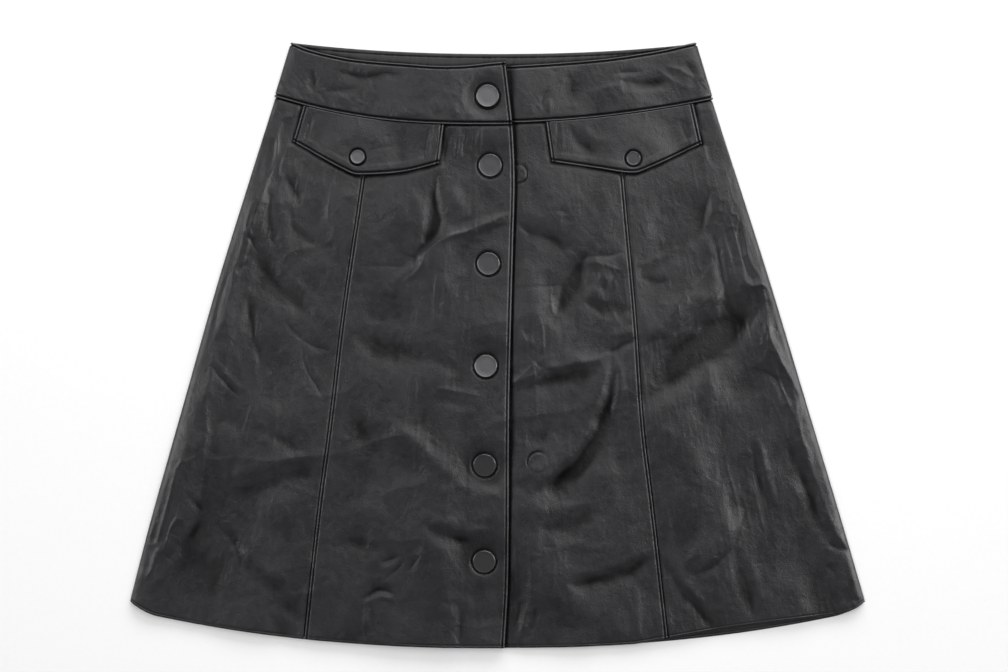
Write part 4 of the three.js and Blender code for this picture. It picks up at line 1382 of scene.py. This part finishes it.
# piece: ((right edge, left edge, foot, head, stations up, stations across), heights of its
# middle, relief of its face, wall). Stations are given the piece's longest span first.
CUT = {
    "side_front_right": (
        front_cut(
            side_edge["right"], moved(princess["right"], -SEAM / 2), "right",
            stations(140, FINE, ROLL_STATIONS, NEAR_EDGE),
        ),
        partial(front_height, side="right"), partial(side_relief, side="right"), PANEL_WALL,
    ),
    "centre_front_right": (
        front_cut(
            moved(princess["right"], SEAM / 2), overlap_edge, "right",
            stations(160, FINE, NEAR_EDGE, NEAR_EDGE),
        ),
        right_front_height, centre_right_relief, PANEL_WALL,
    ),
    "centre_front_left": (
        front_cut(
            level(UNDERLAP_EDGE), moved(princess["left"], -SEAM / 2), "left",
            stations(164, FINE, HIDDEN_EDGE, NEAR_EDGE),
        ),
        partial(front_height, side="left"), centre_left_relief, PANEL_WALL,
    ),
    "side_front_left": (
        front_cut(
            moved(princess["left"], SEAM / 2), side_edge["left"], "left",
            stations(158, FINE, NEAR_EDGE, ROLL_STATIONS),
        ),
        partial(front_height, side="left"), partial(side_relief, side="left"), PANEL_WALL,
    ),
    "back": (
        (
            side_edge["right"], side_edge["left"], back_hem, moved(waist_seam["back"], -SEAM),
            stations(431, 5, NEAR_EDGE, [0]), stations(588, 5, ROLL_STATIONS, ROLL_STATIONS),
        ),
        back_height, back_relief, PANEL_WALL,
    ),
    "waistband_right": (
        (
            side_edge["right"], overlap_edge, waist_seam["right"], band_top["right"],
            BAND_ROWS, stations(190, 1, NEAR_EDGE, NEAR_EDGE),
        ),
        partial(band_height, side="right"), partial(band_relief, side="right"), BAND_WALL,
    ),
    "waistband_left": (
        (
            level(UNDERLAP_EDGE), side_edge["left"], waist_seam["left"], band_top["left"],
            BAND_ROWS, stations(198, 1, HIDDEN_EDGE[:4], NEAR_EDGE),
        ),
        partial(band_height, side="left"), partial(band_relief, side="left"), BAND_WALL,
    ),
    "back_waistband": (
        (
            side_edge["right"], side_edge["left"], waist_seam["back"], back_band_top,
            stations(46, 3, [0], NEAR_EDGE), stations(350, 3),
        ),
        lambda x, y: np.full(x.shape, BACK_Z), back_band_relief, PANEL_WALL,
    ),
    "waistband_facing": (
        (
            moved(side_edge["right"], FACING_IN), moved(side_edge["left"], -FACING_IN),
            waist_seam["back"], moved(back_band_top, -FACING_LOWER),
            stations(46, 1.5, [0], NEAR_EDGE), stations(344, 0.8),
        ),
        lambda x, y: np.full(x.shape, FACING_Z), facing_relief, PANEL_WALL,
    ),
    "flap_right": flap_piece("right"),
    "flap_left": flap_piece("left"),
}
panels = {name: laid_piece(name, *made_of) for name, made_of in CUT.items()}

CAD_NODES = {
    "side_front_right": "front_side_right",
    "centre_front_right": "front_centre_right",
    "centre_front_left": "front_centre_left",
    "side_front_left": "front_side_left",
    "back": "back_panel",
    "waistband_right": "waistband_front_right",
    "waistband_left": "waistband_front_left",
    "back_waistband": "waistband_back",
    "waistband_facing": "waistband_back_facing",
    "flap_right": "pocket_flap_right",
    "flap_left": "pocket_flap_left",
}
for name, cad_node in CAD_NODES.items():
    if name == "waistband_facing":
        placed(panels[name], FACING, [cad_node])
    else:
        placed(panels[name], LEATHER, [cad_node])

# ---------------------------------------------------------------- stitches


def stitch_tree():
    """Lays a short capsule of thread at even steps along each line of a mesh."""
    tree = bpy.data.node_groups.new("rows_of_stitches", "GeometryNodeTree")
    sockets = tree.interface
    sockets.new_socket("Lines", in_out="INPUT", socket_type="NodeSocketGeometry")
    for name in ("Pitch", "Length", "Thickness"):
        sockets.new_socket(name, in_out="INPUT", socket_type="NodeSocketFloat")
    sockets.new_socket("Thread", in_out="INPUT", socket_type="NodeSocketMaterial")
    sockets.new_socket("Stitches", in_out="OUTPUT", socket_type="NodeSocketGeometry")
    given = node(tree, "NodeGroupInput").outputs
    lines = node(tree, "GeometryNodeMeshToCurve", {}, {"Mesh": given["Lines"]})
    steps = node(
        tree, "GeometryNodeResampleCurve", {"mode": "LENGTH"},
        {"Curve": lines.outputs[0], "Length": given["Pitch"]},
    )
    capsule = node(
        tree, "GeometryNodeMeshUVSphere", {"Segments": 6, "Rings": 4, "Radius": 0.5}
    )
    size = node(
        tree, "ShaderNodeCombineXYZ", {},
        {"X": given["Length"], "Y": given["Thickness"], "Z": given["Thickness"]},
    )
    tangent = node(tree, "GeometryNodeInputTangent")
    turn = node(
        tree, "FunctionNodeAlignRotationToVector", {"axis": "X"},
        {"Vector": tangent.outputs[0]},
    )
    laid = node(
        tree, "GeometryNodeInstanceOnPoints", {},
        {
            "Points": steps.outputs[0], "Instance": capsule.outputs[0],
            "Rotation": turn.outputs[0], "Scale": size.outputs[0],
        },
    )
    real = node(tree, "GeometryNodeRealizeInstances", {}, {"Geometry": laid.outputs[0]})
    smooth = node(tree, "GeometryNodeSetShadeSmooth", {}, {"Geometry": real.outputs[0]})
    done = node(
        tree, "GeometryNodeSetMaterial", {},
        {"Geometry": smooth.outputs[0], "Material": given["Thread"]},
    )
    node(tree, "NodeGroupOutput", {}, {"Stitches": done.outputs[0]})
    return tree


STITCH_TREE = stitch_tree()
ABOVE_ALL = 0.05  # metres: a height above every piece


def on_face(panel, x, y):
    """Points of a line laid on a panel's face, sunk by a little of the thread."""
    lift = THREAD * MM / 2 - THREAD_SUNK * THREAD * MM
    found = []
    for px, py in zip(x, y):
        start = Vector((px * MM, py * MM, ABOVE_ALL))
        hit, point, _, _ = panel.ray_cast(start, (0, 0, -1))
        if hit:
            found.append((px, py, (point.z + lift) / MM))
    return found


def stitches(name, panel, lines):
    """Sews rows along lines of (x, y) points on a panel."""
    bpy.context.view_layer.update()
    points, edges = [], []
    for x, y in lines:
        laid = on_face(panel, x, y)
        edges += [(i, i + 1) for i in range(len(points), len(points) + len(laid) - 1)]
        points += laid
    mesh = bpy.data.meshes.new(name)
    mesh.from_pydata(np.array(points) * MM, edges, [])
    made = bpy.data.objects.new(name, mesh)
    bpy.context.scene.collection.objects.link(made)
    sewing = made.modifiers.new("sewing", "NODES")
    sewing.node_group = STITCH_TREE
    values = {
        "Pitch": PITCH * MM, "Length": STITCH * MM, "Thickness": THREAD * MM,
        "Thread": THREAD_BLACK,
    }
    for socket in STITCH_TREE.interface.items_tree:
        if socket.name in values:
            sewing[socket.identifier] = values[socket.name]
    seen = made.evaluated_get(bpy.context.evaluated_depsgraph_get())
    sewn = bpy.data.meshes.new_from_object(seen)
    made.modifiers.remove(sewing)
    made.data = sewn
    return placed(made, THREAD_BLACK, [])


def up_line(line, by, start, end):
    """Points along a line that gives x at each y, moved sideways."""
    y = np.linspace(start, end, max(2, int(abs(end - start))))
    slope = line(y + 0.5) - line(y - 0.5)
    return line(y) + by * np.sqrt(1 + slope * slope), y


def across_line(line, by, start, end):
    """Points along a line that gives y at each x, moved up or down."""
    x = np.linspace(start, end, max(2, int(abs(end - start))))
    slope = line(x + 0.5) - line(x - 0.5)
    return x, line(x) + by * np.sqrt(1 + slope * slope)


FLAP_TOP = 180.0  # y near the tops of the flaps
PRINCESS_ROWS = (-236, 176)  # from, to: y
# Each row is given its line, how far in from that it lies, and from where to where
sewn_rows = {
    "side_front_right": [across_line(front_hem, STITCH_IN, -288, -156)],
    "centre_front_right": [
        across_line(front_hem, STITCH_IN, -152, 2),
        up_line(princess["right"], STITCH_IN, *PRINCESS_ROWS),
        up_line(overlap_edge, -STITCH_IN, -236, 174),
    ],
    "centre_front_left": [
        across_line(front_hem, STITCH_IN, -22, 133),
        up_line(princess["left"], -STITCH_IN, *PRINCESS_ROWS),
    ],
    "side_front_left": [across_line(front_hem, STITCH_IN, 141, 288)],
    "back": [across_line(back_hem, STITCH_IN, -288, 288)],
    "waistband_right": [
        across_line(waist_seam["right"], STITCH_IN, -176, 8),
        across_line(band_top["right"], -STITCH_IN, -161, 3),
        up_line(overlap_edge, -STITCH_IN, 180, 223),
    ],
    "waistband_left": [
        across_line(waist_seam["left"], STITCH_IN, -22, 169),
        across_line(band_top["left"], -STITCH_IN, -22, 155),
    ],
}
for side, (foot_from, foot_to) in {"right": (-159, -50), "left": (47, 159)}.items():
    first, second, foot = flap_lines[side]
    tops = [float(waist_seam[side](line(FLAP_TOP))) - 1 for line in (first, second)]
    sewn_rows[f"flap_{side}"] = [
        across_line(foot, STITCH_IN, foot_from, foot_to),
        up_line(first, STITCH_IN, float(foot(foot_from)) + 3, tops[0]),
        up_line(second, -STITCH_IN, float(foot(foot_to)) + 3, tops[1]),
    ]
stitch_pieces = {
    name: stitches(f"stitches_{name}", panels[name], lines)
    for name, lines in sewn_rows.items()
}

# ---------------------------------------------------------------- snaps

# A cap's profile from the middle of its underside out, up and over, as shares of its
# radius and height. The flat face is sunk a little inside a thin rolled rim.
CAP_PROFILE = [
    (0, 0), (0.9, 0), (0.965, 0.08), (1, 0.25), (1, 0.7), (0.995, 0.86), (0.985, 0.95),
    (0.97, 0.99), (0.955, 1), (0.94, 0.99), (0.925, 0.97), (0.9, 0.96), (0.5, 0.965),
    (0.25, 0.97), (0, 0.97),
]
CAP_SIDES = 72
# How far a cap's face leans to the wearer's left and to the waist, in degrees
CAP_LEANS = {
    "snap_1": (0, 1.4), "snap_2": (0, -1.5), "snap_3": (0, -1), "snap_4": (0, 4),
    "snap_5": (-2, -6.5), "snap_6": (-1, -4), "flap_snap_right": (0, 2.5),
    "flap_snap_left": (0, -3.5),
}


def turned_cap(radius, tall):
    """Points and faces of a cap turned from its profile."""
    points, faces, rings = [], [], []
    for share, rise in CAP_PROFILE:
        if share == 0:
            rings.append([len(points)])
            points.append((0, 0, rise * tall))
            continue
        rings.append(list(range(len(points), len(points) + CAP_SIDES)))
        for k in range(CAP_SIDES):
            angle = 2 * math.pi * k / CAP_SIDES
            points.append(
                (share * radius * math.cos(angle), share * radius * math.sin(angle), rise * tall)
            )
    for lower, upper in zip(rings, rings[1:]):
        for k in range(CAP_SIDES):
            after = (k + 1) % CAP_SIDES
            if len(lower) == 1:
                faces.append([lower[0], upper[after], upper[k]])
            elif len(upper) == 1:
                faces.append([lower[k], lower[after], upper[0]])
            else:
                faces.append([lower[k], lower[after], upper[after], upper[k]])
    return points, faces


def snap_cap(name):
    """A cap that leans as the leather holds it."""
    low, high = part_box(f"{name}_cap")
    centre_x, centre_y = snap_place(name)
    tall = high.z - low.z
    points, faces = turned_cap((high.x - low.x) / 2, tall)
    leant = np.array(points)
    to_left, to_waist = (math.tan(math.radians(angle)) for angle in CAP_LEANS[name])
    slant = leant[:, 0] * to_left + leant[:, 1] * to_waist
    leant[:, 2] -= slant * leant[:, 2] / tall
    leant += (centre_x * MM, centre_y * MM, low.z)
    cap = new_mesh_object(f"cap_{name}", leant / MM, faces)
    return placed(cap, CAP_METAL, [f"{name}_cap"])


snap_names = ["snap_1", *FRONT_SNAPS, *FLAP_SNAPS.values()]
for name in snap_names:
    snap_cap(name)
for name in snap_names:
    for part in ("stud", "socket"):
        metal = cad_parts[f"{name}_{part}"]
        metal.data.materials.clear()
        metal.data.materials.append(STEEL)

# ---------------------------------------------------------------- floor

FLOOR_HALF = 4000.0
FLOOR_Z = -0.2  # a little below the skirt, so that the two never share a plane
FLOOR_CORNERS = [(-1, -1), (1, -1), (1, 1), (-1, 1)]
floor = new_mesh_object(
    "floor",
    [(x * FLOOR_HALF, y * FLOOR_HALF, FLOOR_Z) for x, y in FLOOR_CORNERS],
    [[0, 1, 2, 3]],
)
floor.data.materials.append(pale_floor())

# ---------------------------------------------------------------- light and camera


def softbox(name, place, size, power, aim=(0, 0, 0)):
    """A lamp behind a white cloth, aimed at a place."""
    light = bpy.data.lights.new(name, "AREA")
    light.shape = "RECTANGLE"
    light.size, light.size_y = size
    light.energy = power
    lamp = bpy.data.objects.new(name, light)
    bpy.context.scene.collection.objects.link(lamp)
    lamp.location = place
    lamp.rotation_euler = (Vector(aim) - Vector(place)).to_track_quat("-Z", "Y").to_euler()
    return lamp


softbox("key", (0.5, 2.4, 1.25), (2.8, 1.2), 62)
softbox("top_panel", (0.8, 1.7, 3.0), (3.0, 2.4), 44, (0.6, 1.2, 0))
fill = softbox("fill", (-0.4, -0.4, 3.4), (2.6, 2.2), 62)
fill.visible_glossy = False
for name, x, power in (("right_strip", 1.9, 40), ("left_strip", -1.9, 27)):
    softbox(name, (x, 0.3, 1.2), (0.9, 2.4), power).visible_diffuse = False

world = bpy.data.worlds.new("studio")
world.use_nodes = True
sky = world.node_tree.nodes["Background"]
sky.inputs["Color"].default_value = (1, 1, 1, 1)
sky.inputs["Strength"].default_value = 0.12
scene = bpy.context.scene
scene.world = world
scene.view_settings.view_transform = "Standard"
scene.view_settings.look = "None"

VIEW_WIDTH = 0.8064  # width of the floor that the camera sees
VIEW_CENTRE = (0.0052, 0.0074)
CAMERA_HEIGHT = 2.5
lens = bpy.data.cameras.new("camera")
lens.sensor_width = 36
lens.lens = lens.sensor_width * CAMERA_HEIGHT / VIEW_WIDTH
camera = bpy.data.objects.new("camera", lens)
scene.collection.objects.link(camera)
camera.location = (*VIEW_CENTRE, CAMERA_HEIGHT)
scene.camera = camera

bpy.context.view_layer.update()
